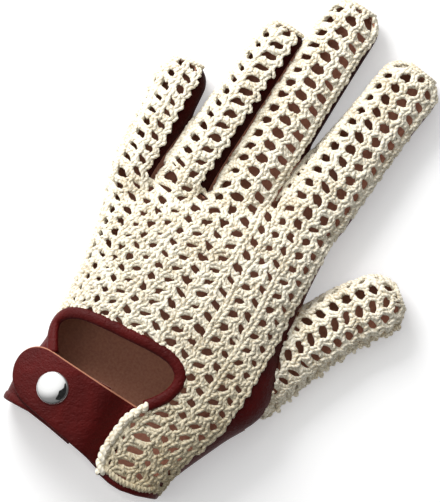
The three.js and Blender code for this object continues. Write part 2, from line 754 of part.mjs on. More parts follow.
add("crochet_back", crochetBack, materials.crochet);
add("palm_leather", palm.subtract(stemBore), materials.leather);
strips.forEach((strip) => add(strip.name, strip.solid, materials.leather));
add("thumb_crochet", thumbBack, materials.crochet);
add("thumb_leather", thumbFront, materials.leather);
add("wrist_hem", hem.subtract(bandOf(GAP)), materials.leather);
add("keyhole_binding", binding, materials.leather);
add("flap_edging", edging, materials.crochet);
add("wrist_strap", strap, materials.leather);
add("snap_cap", cap, materials.metal);
add("snap_stud", stud, materials.metal);

export default glove;
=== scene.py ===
"""Looks of the crochet-back driving glove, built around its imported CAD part.

Lengths are worked out in millimetres in the part's own frame and turned into metres where a mesh is made.
+Y runs to the finger tips, +X to the thumb and +Z up through the back of the hand.
"""

import logging
import math
from dataclasses import dataclass, replace
from enum import Enum
from typing import Callable, Sequence

import bpy
import numpy as np
from mathutils import Matrix, Vector
from mathutils.bvhtree import BVHTree

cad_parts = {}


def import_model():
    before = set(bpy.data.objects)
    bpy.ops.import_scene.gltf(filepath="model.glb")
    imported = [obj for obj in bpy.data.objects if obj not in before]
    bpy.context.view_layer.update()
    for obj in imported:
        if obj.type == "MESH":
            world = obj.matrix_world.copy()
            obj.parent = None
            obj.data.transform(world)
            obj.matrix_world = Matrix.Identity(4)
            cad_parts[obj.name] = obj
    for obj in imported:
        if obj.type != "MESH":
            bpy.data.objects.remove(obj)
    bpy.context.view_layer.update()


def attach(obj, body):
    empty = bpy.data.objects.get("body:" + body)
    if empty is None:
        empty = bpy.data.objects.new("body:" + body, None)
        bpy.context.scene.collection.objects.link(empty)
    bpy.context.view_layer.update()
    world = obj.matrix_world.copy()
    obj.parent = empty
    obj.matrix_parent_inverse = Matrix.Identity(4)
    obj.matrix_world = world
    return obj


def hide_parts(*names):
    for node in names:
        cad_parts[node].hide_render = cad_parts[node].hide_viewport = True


LOG = logging.getLogger("glove")
RANDOM = np.random.default_rng(7)
MM = 0.001

Array = np.ndarray
Socket = bpy.types.NodeSocket
Triple = tuple[float, float, float]
Colour = Triple
Profile = tuple[tuple[float, float], ...]

# Shares of a section's height, and heights and places in millimetres that several pieces read.
BODY_MIDLINE = 0.44
UNDERSIDE_SAG = 0.35
CROCHET_EDGE_Z = 9.0
BODY_EDGE_Z = 11.0
FRONT_EDGE_Z = 4.6
THUMB_EDGE_Z = 7.0
HAND_VOXEL = 0.9
FORM_SIDES = 56
NO_SKIN_Z = 9.0
FAR_BELOW = -110.0
SEAM_INSET = 1.6
KNUCKLES_Y = 39.0
THUMB_LIMIT_Y = 45.0
SIDE_MARGIN = 1.5
FINGER_OVERLAP = 14.0

# Hand sections from the wrist to the knuckles, in millimetres and degrees:
# x, y, turn, half width, top, squareness, and the crochet's thumb-side edge as a share of the half width.
BODY_ROWS = (
    (-14.8, -77.1, -8.5, 36.5, 27.0, 3.2, 0.955),
    (-14.3, -68.7, -6.5, 37.0, 27.0, 3.2, 0.955),
    (-11.9, -59.5, -3.7, 39.0, 27.6, 3.2, 0.955),
    (-6.2, -45.0, -1.4, 41.3, 28.8, 3.0, 0.93),
    (-1.3, -27.1, 0.0, 45.8, 30.0, 2.8, 0.79),
    (-4.5, -4.5, 3.3, 43.6, 30.0, 2.6, 0.93),
    (-6.7, 15.0, 7.5, 44.0, 28.8, 2.6, 0.985),
    (-8.0, 29.0, 13.0, 45.5, 26.1, 2.6, 0.985),
    (-9.4, 37.3, 18.0, 47.3, 21.6, 2.6, 0.985),
    (-9.8, 41.6, 20.0, 48.1, 15.6, 2.6, 0.985),
)

# Thumb sections from its root: x, y, lean, half width, top.
THUMB_ROWS = (
    (31.5, -25.2, 20.0, 13.9, 18.0),
    (40.4, -4.7, 22.0, 13.2, 18.4),
    (48.6, 10.4, 30.0, 12.2, 18.4),
    (55.9, 22.7, 37.0, 11.9, 17.6),
)
THUMB_TIP_TURN = 41.0
THUMB_TIP_RUN = 22.1

# The binding's line round the keyhole and the crochet flap's free edge, in plan.
KEYHOLE_LINE = (
    (-41.6, -46.1), (-44.8, -40.4), (-46.3, -35.5), (-45.5, -31.3), (-42.6, -28.3), (-37.6, -26.4),
    (-29.0, -25.5), (-18.0, -25.1), (-8.0, -24.8), (0.0, -25.4), (5.0, -27.6), (7.7, -30.9),
    (8.0, -35.0), (6.6, -39.5), (3.6, -44.0), (0.5, -47.4),
)
FLAP_LINE = (
    (-0.9, -50.5), (-3.4, -55.3), (-4.7, -61.0), (-5.3, -67.0), (-5.2, -72.0), (-4.2, -76.0), (-2.6, -79.6),
)
TAB_EDGE_X = -14.5

# The wrist's edge in plan.
WRIST_LINE = (
    (-70.0, -70.4), (-52.0, -70.4), (-40.0, -70.3), (-30.0, -72.0), (-20.0, -74.1), (-10.0, -76.5),
    (-3.0, -79.0), (3.0, -80.6), (8.0, -80.9), (14.0, -80.0), (20.0, -78.3), (26.0, -76.5),
)

# Ribs of the crochet in plan: x of each rib from the fourth on, at these places along the hand.
RIB_LEVELS = (-84.0, -60.0, -42.0, -20.0, 0.0, 20.0, 36.0)
RIB_LINES = (
    (-43.5, -43.5, -43.5, -42.6, -40.4, -39.2, -43.0),
    (-39.5, -39.5, -39.5, -39.0, -35.9, -34.0, -36.3),
    (-34.5, -34.5, -34.5, -34.0, -30.7, -28.6, -28.9),
    (-28.5, -28.5, -28.5, -28.0, -24.9, -23.2, -22.5),
    (-22.0, -22.0, -22.0, -21.6, -18.9, -17.3, -15.6),
    (-15.2, -15.2, -15.2, -14.8, -12.2, -10.4, -9.8),
    (-7.8, -7.8, -7.8, -7.4, -5.1, -3.5, -2.6),
    (-3.6, -3.2, -1.0, 0.3, 2.2, 3.5, 4.8),
    (-1.0, 0.5, 5.5, 8.2, 9.9, 10.7, 11.2),
    (8.5, 9.5, 12.3, 15.4, 16.7, 17.0, 17.0),
    (14.0, 15.5, 19.3, 21.6, 22.8, 22.9, 23.0),
    (17.7, 20.3, 25.6, 27.7, 28.9, 28.9, 29.3),
    (20.0, 24.2, 31.2, 33.2, 33.6, 33.9, 34.5),
)
SIDE_RIBS = 3
FINGER_LEVELS = (0.0, 25.0, 60.0)
TIP_FADE = 16.0
TIP_LAP = 1.6


@dataclass(frozen=True)
class FingerSize:
    """One finger: its crotch in plan, its lean and sizes, and where the crochet's ribs lie across it.

    A rib at -99 lies on the finger's side seam.
    """

    name: str
    x: float
    y: float
    lean: float
    length: float
    width: float
    flare: float
    root: float
    cover: float
    first_rib: int
    ribs: tuple[Triple, ...]
    at_tip: tuple[float, ...]


FINGERS = (
    FingerSize("little", -46.6, 32.0, -1.6, 51.5, 20.4, 0.93, 7.8, 0.46, 0,
               ((-99.0, -99.0, -99.0), (-7.9, -7.9, -7.7), (-2.3, -2.2, -2.0), (3.4, 3.5, 3.5)),
               (-99.0, -7.7, -1.6, 6.0)),
    FingerSize("ring", -27.8, 41.0, 7.4, 73.5, 19.8, 1.08, 0.0, 0.4, 4,
               ((-8.6, -9.3, -9.2), (-1.3, -3.7, -4.9), (4.5, 3.8, 2.8)), (-9.2, -4.0, 3.2)),
    FingerSize("middle", -3.6, 46.0, 4.0, 88.5, 23.4, 1.06, 0.0, 0.82, 7,
               ((-11.3, -11.3, -11.2), (-5.9, -5.9, -5.8), (1.3, 1.4, 1.7), (8.9, 9.0, 8.8)),
               (-11.2, -4.6, 3.0, 11.1)),
    FingerSize("index", 22.4, 51.0, 10.6, 73.0, 25.4, 1.19, -0.5, 0.92, 11,
               ((-10.5, -11.8, -12.2), (-3.9, -6.1, -8.0), (3.0, 0.5, -2.0), (9.2, 7.2, 4.0),
                (13.6, 12.3, 10.6)), (-12.0, -7.0, -0.4, 6.0, 11.6)),
)
FINGER_HEIGHT = 20.0
FINGER_SQUARE = 2.2
ROOT_DEPTH = 22.0
TIP_RADIUS = 9.5


@dataclass(frozen=True)
class Column:
    """A column of holes between two ribs, on the hand and then on the finger above it.

    The anchor is where one hole lies. Pitch is from hole to hole, hole is a hole's height, and slant is how
    much higher a post ends at its thumb side.
    """

    anchor: float
    pitch: tuple[float, float]
    hole: tuple[float, float]
    slant: tuple[float, float]


COLUMNS = (
    Column(36.8, (5.3, 5.45), (1.7, 1.2), (-0.8, -0.8)),
    Column(36.8, (5.3, 5.45), (2.5, 2.1), (-1.3, -1.1)),
    Column(44.0, (5.1, 5.25), (2.3, 2.2), (-1.4, -1.6)),
    Column(25.0, (5.2, 5.2), (1.7, 1.7), (1.2, 1.2)),
    Column(39.0, (5.2, 5.58), (2.6, 2.4), (-1.7, -1.0)),
    Column(43.5, (5.45, 5.6), (1.8, 2.5), (1.6, 1.3)),
    Column(37.0, (5.37, 5.4), (2.7, 2.8), (-1.9, -1.2)),
    Column(40.0, (5.4, 5.9), (1.9, 2.8), (1.7, 1.6)),
    Column(43.5, (5.42, 5.97), (2.7, 3.6), (-2.1, -0.5)),
    Column(42.0, (5.6, 5.8), (2.0, 3.1), (1.8, -1.8)),
    Column(42.0, (5.8, 5.8), (2.5, 2.9), (-2.5, -2.4)),
    Column(43.0, (6.0, 5.9), (2.5, 2.6), (0.9, 1.4)),
    Column(45.0, (5.9, 6.05), (2.7, 3.4), (-2.3, -1.1)),
    Column(46.5, (6.1, 6.2), (2.4, 3.4), (0.7, 1.3)),
    Column(42.5, (6.0, 6.25), (2.5, 3.0), (-1.9, -1.5)),
)
PITCH_CHANGE = 34.0

# For each column of the thumb: the height of its holes near the root and near the tip.
THUMB_HOLES = ((1.6, 2.2), (2.0, 3.3), (3.1, 3.6), (2.0, 3.2), (1.6, 2.0))


# The columns on either side of a rib, first the one on the little-finger side.
Sides = tuple[Column | None, Column | None]


class Finish(Enum):
    """Names of the material slots: crochet, leather and metal."""

    CROCHET = "crochet"
    LEATHER = "leather"
    METAL = "metal"


def smooth_rows(rows: Array, per_gap: int) -> Array:
    """Fills in rows between those given, along a Catmull-Rom spline.

    Args:
        rows: One row of numbers per key.
        per_gap: Steps between one key and the next.

    Returns:
        The keys and the rows between them.
    """
    padded = np.vstack([2 * rows[0] - rows[1], rows, 2 * rows[-1] - rows[-2]])
    out = []
    for k in range(1, len(padded) - 2):
        a, b, c, d = padded[k - 1 : k + 3]
        for t in np.arange(per_gap) / per_gap:
            out.append(0.5 * (
                2 * b
                + (c - a) * t
                + (2 * a - 5 * b + 4 * c - d) * t**2
                + (3 * b - a - 3 * c + d) * t**3
            ))
    out.append(rows[-1])
    return np.array(out)


class Limb:
    """A part of the hand's form: squared oval sections, flat underneath, along a line in plan."""

    KEYS = ("t", "x", "y", "turn", "half", "top", "bottom", "square", "edge")

    def __init__(self, rows: Array) -> None:
        """Holds the sections, one row each in the order of KEYS."""
        self.rows = rows
        self.t = rows[:, 0]

    def at(self, t: Array) -> dict[str, Array]:
        """The sections at places along the limb.

        Args:
            t: Places along the limb.

        Returns:
            Each of the section's sizes, as arrays.
        """
        return {key: np.interp(t, self.t, self.rows[:, k]) for k, key in enumerate(self.KEYS)}

    def outline(self, s: dict[str, Array], angle: Array) -> tuple[Array, Array]:
        """A section's outline, as its distance across and its height.

        Args:
            s: The section's sizes.
            angle: Radians from the thumb side up over the top.

        Returns:
            Distances across the section, and heights.
        """
        power = 2 / s["square"]
        mid = s["bottom"] + (s["top"] - s["bottom"]) * BODY_MIDLINE
        c = np.sign(np.cos(angle)) * np.abs(np.cos(angle)) ** power
        v = np.sign(np.sin(angle)) * np.abs(np.sin(angle)) ** power
        z = np.where(v >= 0, mid + (s["top"] - mid) * v, mid + (mid - s["bottom"]) * (1 + UNDERSIDE_SAG) * v)
        return s["half"] * c, np.maximum(z, s["bottom"])

    def place(self, s: dict[str, Array], across: Array, z: Array) -> Array:
        """Moves points of a section's own plane into the glove's frame.

        Args:
            s: The section's sizes.
            across: Distances across the section.
            z: Heights.

        Returns:
            The points.
        """
        turn = np.radians(s["turn"])
        x = s["x"] + across * np.cos(turn)
        y = s["y"] + across * np.sin(turn)
        return np.stack(np.broadcast_arrays(x, y, z), axis=-1)

    def rings(self, sides: int) -> Array:
        """Lays a ring of points round every row.

        Args:
            sides: Points in a ring.

        Returns:
            The points, ring by ring.
        """
        angle = np.linspace(0, 2 * math.pi, sides, endpoint=False)[None, :]
        s = {key: self.rows[:, k][:, None] for k, key in enumerate(self.KEYS)}
        across, z = self.outline(s, angle)
        return self.place(s, across, z)

    def arc(self, t: float, low_left: float, low_right: float) -> tuple[Array, Array, Array]:
        """Draws a line over the top of a section, from its little-finger side to its thumb side.

        Args:
            t: Place along the limb.
            low_left: Height at which the line starts.
            low_right: Height at which it ends.

        Returns:
            The line's points, their distances across the section, and their run along the line.
        """
        s = self.at(np.array(float(t)))
        angle = np.linspace(math.pi * 1.15, -0.15 * math.pi, 240)
        across, z = self.outline(s, angle)
        peak = s["bottom"] + (s["top"] - s["bottom"]) * 0.9
        left = (angle > math.pi / 2) & (z >= min(low_left, peak))
        right = (angle <= math.pi / 2) & (z >= min(low_right, peak))
        keep = left | right
        across, z = across[keep], z[keep]
        run = np.concatenate([[0], np.cumsum(np.hypot(np.diff(across), np.diff(z)))])
        return self.place(s, across, z), across, run


def body_limb() -> Limb:
    """Makes the hand from past the wrist to the knuckles.

    Returns:
        Its limb, which is counted along by Y.
    """
    keys = np.array([
        (y, x, y, turn, half, top, 0.0, square, edge)
        for x, y, turn, half, top, square, edge in BODY_ROWS
    ])
    # One more section below the wrist, so that the wrist's edge can be cut.
    first = keys[0].copy()
    first[[0, 2]] -= 10
    first[1] -= 1.2
    return Limb(smooth_rows(np.vstack([first, keys]), 6))


def dome_rows(
    tip: Array, t_end: float, lean: float, half: float, top: float, radius: float
) -> Array:
    """Makes sections that close a shaft with a round tip.

    Args:
        tip: The tip's point in plan.
        t_end: The tip's place along the limb.
        lean: Degrees towards the thumb.
        half: Half width before the dome.
        top: Height before the dome.
        radius: The dome's length.

    Returns:
        Rows in the limb's order.
    """
    rows = []
    for degrees in (6, 16, 28, 40, 52, 63, 73, 81, 87):
        share = math.cos(math.radians(degrees))
        back = radius * (1 - math.sin(math.radians(degrees)))
        mid = top * BODY_MIDLINE
        rows.append((
            t_end - back,
            tip[0] - back * math.sin(math.radians(lean)),
            tip[1] - back * math.cos(math.radians(lean)),
            -lean,
            half * share,
            mid + (top - mid) * share,
            mid * (1 - share),
            FINGER_SQUARE,
            1.0,
        ))
    return np.array(rows)


def finger_limb(size: FingerSize) -> Limb:
    """Makes one finger from its buried root to its tip.

    Args:
        size: The finger's sizes.

    Returns:
        Its limb, which is counted along from the crotch.
    """
    along = np.array([math.sin(math.radians(size.lean)), math.cos(math.radians(size.lean))])
    crotch = np.array([size.x, size.y])

    def row(distance: float, wide: float, high: float, shift: float = 0.0) -> tuple[float, ...]:
        """Gives one section.

        Args:
            distance: Its distance from the crotch.
            wide: Its width as a share of the finger's.
            high: Its height as a share of a finger's.
            shift: Millimetres to the thumb side.

        Returns:
            The section's row.
        """
        x, y = crotch + along * distance
        half, top = size.width / 2 * wide, FINGER_HEIGHT * high
        return (distance, x + shift, y, -size.lean, half, top, 0.0, FINGER_SQUARE, 1.0)

    flare = size.flare - 1
    shaft = np.array([
        row(-ROOT_DEPTH, 0.9, 1.1, size.root),
        row(0.0, 1 + flare, 1.06),
        row(size.length * 0.3, 1 + flare * 0.5, 1.02),
        row(size.length * 0.62, 1.0, 0.94),
        row(size.length - TIP_RADIUS - 1.5, 1.0, 0.885),
    ])
    tip = crotch + along * size.length
    dome = dome_rows(tip, size.length, size.lean, size.width / 2, FINGER_HEIGHT * 0.88, TIP_RADIUS)
    return Limb(np.vstack([smooth_rows(shaft, 6), dome]))


def thumb_limb() -> Limb:
    """Makes the thumb from its root in the palm to its tip.

    Returns:
        Its limb, which is counted along its own line.
    """
    points = np.array([[row[0], row[1]] for row in THUMB_ROWS])
    run = np.concatenate([[0], np.cumsum(np.linalg.norm(np.diff(points, axis=0), axis=1))])
    shaft = np.array([
        (run[k], x, y, -lean, half, top, 0.0, FINGER_SQUARE, 1.0)
        for k, (x, y, lean, half, top) in enumerate(THUMB_ROWS)
    ])
    turn = math.radians(THUMB_TIP_TURN)
    tip = points[-1] + THUMB_TIP_RUN * np.array([math.sin(turn), math.cos(turn)])
    end = run[-1] + THUMB_TIP_RUN
    dome = dome_rows(tip, end, THUMB_TIP_TURN, THUMB_ROWS[-1][3], THUMB_ROWS[-1][4], 11.5)
    return Limb(np.vstack([smooth_rows(shaft, 6), dome]))


def polygon_distance(points: Array, outline: Array) -> Array:
    """Measures how far points lie outside a closed outline in plan.

    Args:
        points: The points.
        outline: The outline's corners.

    Returns:
        The distances, negative inside.
    """
    best = np.full(len(points), 1e9)
    inside = np.zeros(len(points), bool)
    for p, q in zip(outline, np.roll(outline, -1, axis=0)):
        edge = q - p
        rel = points - p
        t = np.clip(rel @ edge / max(edge @ edge, 1e-9), 0, 1)
        gap = rel - t[:, None] * edge
        best = np.minimum(best, np.einsum("ij,ij->i", gap, gap))
        if abs(edge[1]) > 1e-12:
            crosses = (p[1] > points[:, 1]) != (q[1] > points[:, 1])
            at = p[0] + (points[:, 1] - p[1]) / edge[1] * edge[0]
            inside ^= crosses & (points[:, 0] < at)
    return np.sqrt(best) * np.where(inside, -1, 1)


class Surface:
    """A triangle mesh held as arrays, which can be cut along the zero line of a value."""

    def __init__(self, points: Array, faces: Array) -> None:
        """Holds points in millimetres and triangles of their numbers."""
        self.points = points
        self.faces = faces

    def cut(self, value: Callable[[Array], Array]) -> "Surface":
        """Keeps the part where a value is positive.

        Args:
            value: Gives the value at each point.

        Returns:
            The part that is left, its edge lying on the zero line.
        """
        v = value(self.points)
        v = np.where(np.abs(v) < 1e-4, 1e-4, v)
        sign = v[self.faces] > 0
        count = sign.sum(axis=1)
        whole = self.faces[count == 3]
        points = [self.points]
        made: dict[tuple[int, int], int] = {}
        extra: list[Array] = []
        faces: list[tuple[int, int, int]] = []

        def between(i: int, j: int) -> int:
            """Finds or makes the point where an edge meets the zero line.

            Args:
                i: The number of the edge's first point.
                j: The number of its second point.

            Returns:
                The new point's number.
            """
            key = (min(i, j), max(i, j))
            if key not in made:
                share = v[i] / (v[i] - v[j])
                made[key] = len(self.points) + len(extra)
                extra.append(self.points[i] + (self.points[j] - self.points[i]) * share)
            return made[key]

        for face, kept in zip(self.faces[count == 1], sign[count == 1]):
            k = int(np.argmax(kept))
            a, b, c = face[k], face[(k + 1) % 3], face[(k + 2) % 3]
            faces.append((a, between(a, b), between(a, c)))
        for face, kept in zip(self.faces[count == 2], sign[count == 2]):
            k = int(np.argmin(kept))
            a, b, c = face[k], face[(k + 1) % 3], face[(k + 2) % 3]
            ab, ac = between(a, b), between(a, c)
            faces.append((ab, b, c))
            faces.append((ab, c, ac))
        if extra:
            points.append(np.array(extra))
        joined = np.vstack([whole, np.array(faces, int).reshape(-1, 3)])
        return Surface(np.vstack(points), joined).tidy()

    def tidy(self) -> "Surface":
        """Drops the points that no face uses."""
        used, new = np.unique(self.faces, return_inverse=True)
        return Surface(self.points[used], new.reshape(-1, 3))

    def largest(self) -> "Surface":
        """Keeps the one piece with the most faces.

        Returns:
            That piece.
        """
        parent = np.arange(len(self.points))
        for _ in range(400):
            low = parent[self.faces].min(axis=1)
            fresh = parent.copy()
            for k in range(3):
                np.minimum.at(fresh, self.faces[:, k], low)
            fresh = fresh[fresh]
            if (fresh == parent).all():
                break
            parent = fresh
        ids, counts = np.unique(parent[self.faces[:, 0]], return_counts=True)
        keep = parent[self.faces[:, 0]] == ids[np.argmax(counts)]
        return Surface(self.points, self.faces[keep]).tidy()


def mesh_object(
    name: str,
    points: Array,
    faces: Sequence | Array,
    material: bpy.types.Material,
    smooth: bool = True,
) -> bpy.types.Object:
    """Makes a mesh object from points in millimetres.

    Args:
        name: The object's name.
        points: Points in millimetres.
        faces: Vertex numbers of each face.
        material: Its material.
        smooth: Whether it is shaded smooth.

    Returns:
        The new object, linked to the scene.
    """
    mesh = bpy.data.meshes.new(name)
    points = np.asarray(points, np.float32) * MM
    faces = np.asarray(faces, np.int32)
    mesh.vertices.add(len(points))
    mesh.vertices.foreach_set("co", points.ravel())
    sides = faces.shape[1]
    mesh.loops.add(faces.size)
    mesh.loops.foreach_set("vertex_index", faces.ravel())
    mesh.polygons.add(len(faces))
    mesh.polygons.foreach_set("loop_start", np.arange(0, faces.size, sides, dtype=np.int32))
    mesh.polygons.foreach_set("use_smooth", np.full(len(faces), smooth))
    mesh.update(calc_edges=True)
    mesh.validate()
    mesh.materials.append(material)
    thing = bpy.data.objects.new(name, mesh)
    bpy.context.scene.collection.objects.link(thing)
    return thing


def tube_faces(rings: int, sides: int, closed: bool = False) -> Array:
    """Makes the four-sided faces of a tube.

    Args:
        rings: How many rings of points it has.
        sides: How many points a ring has.
        closed: Whether the last ring joins up with the first.

    Returns:
        The faces. Each has two points of its ring, and then the same two of the next ring, in reverse.
    """
    k = np.arange(rings if closed else rings - 1)[:, None]
    i = np.arange(sides)
    j = (i + 1) % sides
    here, ahead = k * sides, (k + 1) % rings * sides
    return np.stack([here + i, here + j, ahead + j, ahead + i], axis=-1).reshape(-1, 4)


class HandForm:
    """The smooth outer form of the filled glove, which every other piece is laid on."""

    def __init__(self) -> None:
        """Makes the limbs and joins them."""
        self.body = body_limb()
        self.fingers = {size.name: finger_limb(size) for size in FINGERS}
        self.thumb = thumb_limb()
        self.skin = self._blend()
        self.tree = BVHTree.FromPolygons(self.skin.points.tolist(), self.skin.faces.tolist())

    def _blend(self) -> Surface:
        """Joins the limbs into one skin and softens where they meet.

        Returns:
            The skin.
        """
        points: list[Array] = []
        faces: list[tuple[int, ...]] = []
        base = 0
        for limb in (self.body, *self.fingers.values(), self.thumb):
            rings = limb.rings(FORM_SIDES)
            count, sides = rings.shape[:2]
            points.append(rings.reshape(-1, 3))
            points.append(rings[0].mean(axis=0)[None])
            points.append(rings[-1].mean(axis=0)[None])
            for k in range(count - 1):
                for i in range(sides):
                    a = base + k * sides + i
                    b = base + k * sides + (i + 1) % sides
                    faces.append((a, b, b + sides))
                    faces.append((a, b + sides, a + sides))
            hub = base + count * sides
            for i in range(sides):
                j = (i + 1) % sides
                faces.append((hub, base + j, base + i))
                faces.append((hub + 1, hub - sides + i, hub - sides + j))
            base = hub + 2
        blank = bpy.data.materials.new("form")
        form = mesh_object("form", np.vstack(points), np.array(faces), blank)
        remesh = form.modifiers.new("blend", "REMESH")
        remesh.mode = "VOXEL"
        remesh.voxel_size = HAND_VOXEL * MM
        soften = form.modifiers.new("soften", "SMOOTH")
        soften.factor = 0.5
        soften.iterations = 9
        graph = bpy.context.evaluated_depsgraph_get()
        result = bpy.data.meshes.new_from_object(form.evaluated_get(graph))
        result.calc_loop_triangles()
        co = np.zeros(len(result.vertices) * 3, np.float32)
        result.vertices.foreach_get("co", co)
        tris = np.zeros(len(result.loop_triangles) * 3, np.int32)
        result.loop_triangles.foreach_get("vertices", tris)
        bpy.data.objects.remove(form)
        bpy.data.meshes.remove(result)
        bpy.data.materials.remove(blank)
        return Surface(co.reshape(-1, 3).astype(float) / MM, tris.reshape(-1, 3).astype(int))

    def snap(self, points: Array) -> tuple[Array, Array]:
        """Finds the nearest points of the skin.

        Args:
            points: The points.

        Returns:
            The nearest points, and the skin's outward directions there.
        """
        flat = points.reshape(-1, 3)
        near = np.empty_like(flat)
        out = np.empty_like(flat)
        for k, p in enumerate(flat):
            place, normal, _, _ = self.tree.find_nearest(Vector(p))
            near[k] = place
            out[k] = normal
        return near.reshape(points.shape), out.reshape(points.shape)

    def top(self, x: float, y: float) -> float:
        """Gives the skin's height above a place in plan, or the midline where there is none."""
        hit = self.tree.ray_cast(Vector((x, y, 80)), Vector((0, 0, -1)))[0]
        return hit.z if hit else NO_SKIN_Z

    def body_place(self, points: Array) -> tuple[Array, Array]:
        """Finds where points lie on the hand.

        Args:
            points: The points.

        Returns:
            Places along it, and places across as shares of its half width.
        """
        along = points[:, 1].copy()
        for _ in range(4):
            s = self.body.at(along)
            along = points[:, 1] - np.tan(np.radians(s["turn"])) * (points[:, 0] - s["x"])
        s = self.body.at(along)
        across = (points[:, 0] - s["x"]) / np.maximum(np.cos(np.radians(s["turn"])), 0.1)
        return along, across / s["half"]

    def finger_place(self, size: FingerSize, points: Array) -> tuple[Array, Array, Array]:
        """Finds where points lie on a finger.

        Args:
            size: The finger.
            points: The points.

        Returns:
            Distances along it and across it, and its half width there.
        """
        lean = math.radians(size.lean)
        rel = points[:, :2] - np.array([size.x, size.y])
        along = rel[:, 0] * math.sin(lean) + rel[:, 1] * math.cos(lean)
        across = rel[:, 0] * math.cos(lean) - rel[:, 1] * math.sin(lean)
        half = self.fingers[size.name].at(along)["half"]
        return along, across, half

    def thumb_place(self, points: Array) -> tuple[Array, Array]:
        """Finds where points lie on the thumb.

        Args:
            points: The points.

        Returns:
            Places along its line, and distances from it in plan.
        """
        rows = self.thumb.rows
        gap = np.linalg.norm(points[:, None, :2] - rows[None, :, 1:3], axis=2)
        k = gap.argmin(axis=1)
        return rows[k, 0], gap[np.arange(len(points)), k]


class Outlines:
    """The seam lines in plan, and the zones between them."""

    def __init__(self, form: HandForm) -> None:
        """Draws the lines.

        Args:
            form: The hand that they lie on.
        """
        self.form = form
        self.binding = smooth_rows(np.array(KEYHOLE_LINE, float), 6)
        self.flap = smooth_rows(np.array(FLAP_LINE, float), 6)
        edge = np.vstack([self.binding, self.flap])
        start_x, start_y = self.binding[0]
        slit = (self.flap[-1, 0], FAR_BELOW)
        self.hole = np.vstack([
            edge,
            [slit, (TAB_EDGE_X, FAR_BELOW), (TAB_EDGE_X, start_y - 1.2), (start_x, start_y - 1.2)],
        ])
        self.tab = np.vstack([edge, [slit, (-100.0, FAR_BELOW), (-100.0, -32.0), (-47.5, -32.0)]])
        wrist = np.array(WRIST_LINE)
        self.wrist_x, self.wrist_y = wrist[:, 0], wrist[:, 1]

    def wrist_at(self, x: Array) -> Array:
        """Gives the wrist edge's place along the hand."""
        return np.interp(x, self.wrist_x, self.wrist_y)

    def above_wrist(self, points: Array) -> Array:
        """Measures how far points lie above the wrist's edge."""
        return points[:, 1] - self.wrist_at(points[:, 0])

    def crochet(self, points: Array) -> Array:
        """Marks the crochet, before the keyhole and the tab are taken out.

        Args:
            points: The points.

        Returns:
            A value at each, positive on crochet.
        """
        form = self.form
        along, share = form.body_place(points)
        s = form.body.at(along)
        z = points[:, 2]
        across = share * s["half"]
        zone = np.minimum(s["edge"] * s["half"] - SEAM_INSET - across, z - BODY_EDGE_Z)
        zone = np.minimum(zone, KNUCKLES_Y - along)
        for size in FINGERS:
            d, a, half = form.finger_place(size, points)
            shaft = np.minimum(size.cover * half - a, z - CROCHET_EDGE_Z)
            shaft = np.minimum(shaft, np.minimum(a + half + SIDE_MARGIN, d + FINGER_OVERLAP))
            zone = np.maximum(zone, np.minimum(shaft, size.length - TIP_LAP - d))
        return zone

    def thumb(self, points: Array) -> Array:
        """Marks the thumb, past the palm's side.

        Args:
            points: The points.

        Returns:
            A value at each, positive on the thumb.
        """
        along, share = self.form.body_place(points)
        s = self.form.body.at(along)
        past = (share - 1.0) * s["half"] + 0.6
        t, gap = self.form.thumb_place(points)
        reach = self.form.thumb.at(t)["half"] + 1.2 - gap
        return np.minimum(np.minimum(past, THUMB_LIMIT_Y - along), reach)

    def thumb_front(self, points: Array) -> Array:
        """Marks the thumb's leather.

        Args:
            points: The points.

        Returns:
            A value at each, positive on leather.
        """
        tip = self.form.thumb.rows[-1, 1:3]
        turn = math.radians(THUMB_TIP_TURN)
        ahead = (points[:, :2] - tip) @ np.array([math.sin(turn), math.cos(turn)])
        return np.maximum(THUMB_EDGE_Z + 1 - points[:, 2], ahead + TIP_LAP)

    def strips(self, points: Array) -> Array:
        """Marks the leather sides that face a neighbouring finger.

        Args:
            points: The points.

        Returns:
            A value at each, positive on those sides.
        """
        zone = np.full(len(points), -9.0)
        for k, size in enumerate(FINGERS):
            d, a, half = self.form.finger_place(size, points)
            near = half + SIDE_MARGIN - np.abs(a)
            inner = np.minimum(np.minimum(near, points[:, 2] - FRONT_EDGE_Z), d + 2.5)
            if k == 0:
                inner = np.minimum(inner, a)
            if k == len(FINGERS) - 1:
                inner = np.minimum(inner, -a)
            zone = np.maximum(zone, inner)
        return zone


@dataclass(frozen=True)
class YarnLook:
    """A strand's radius, sides and wobble, and its unevenness and end taper as shares of the radius."""

    radius: float = 0.6
    sides: int = 7
    wobble: float = 0.23
    uneven: float = 0.08
    taper: float = 0.55


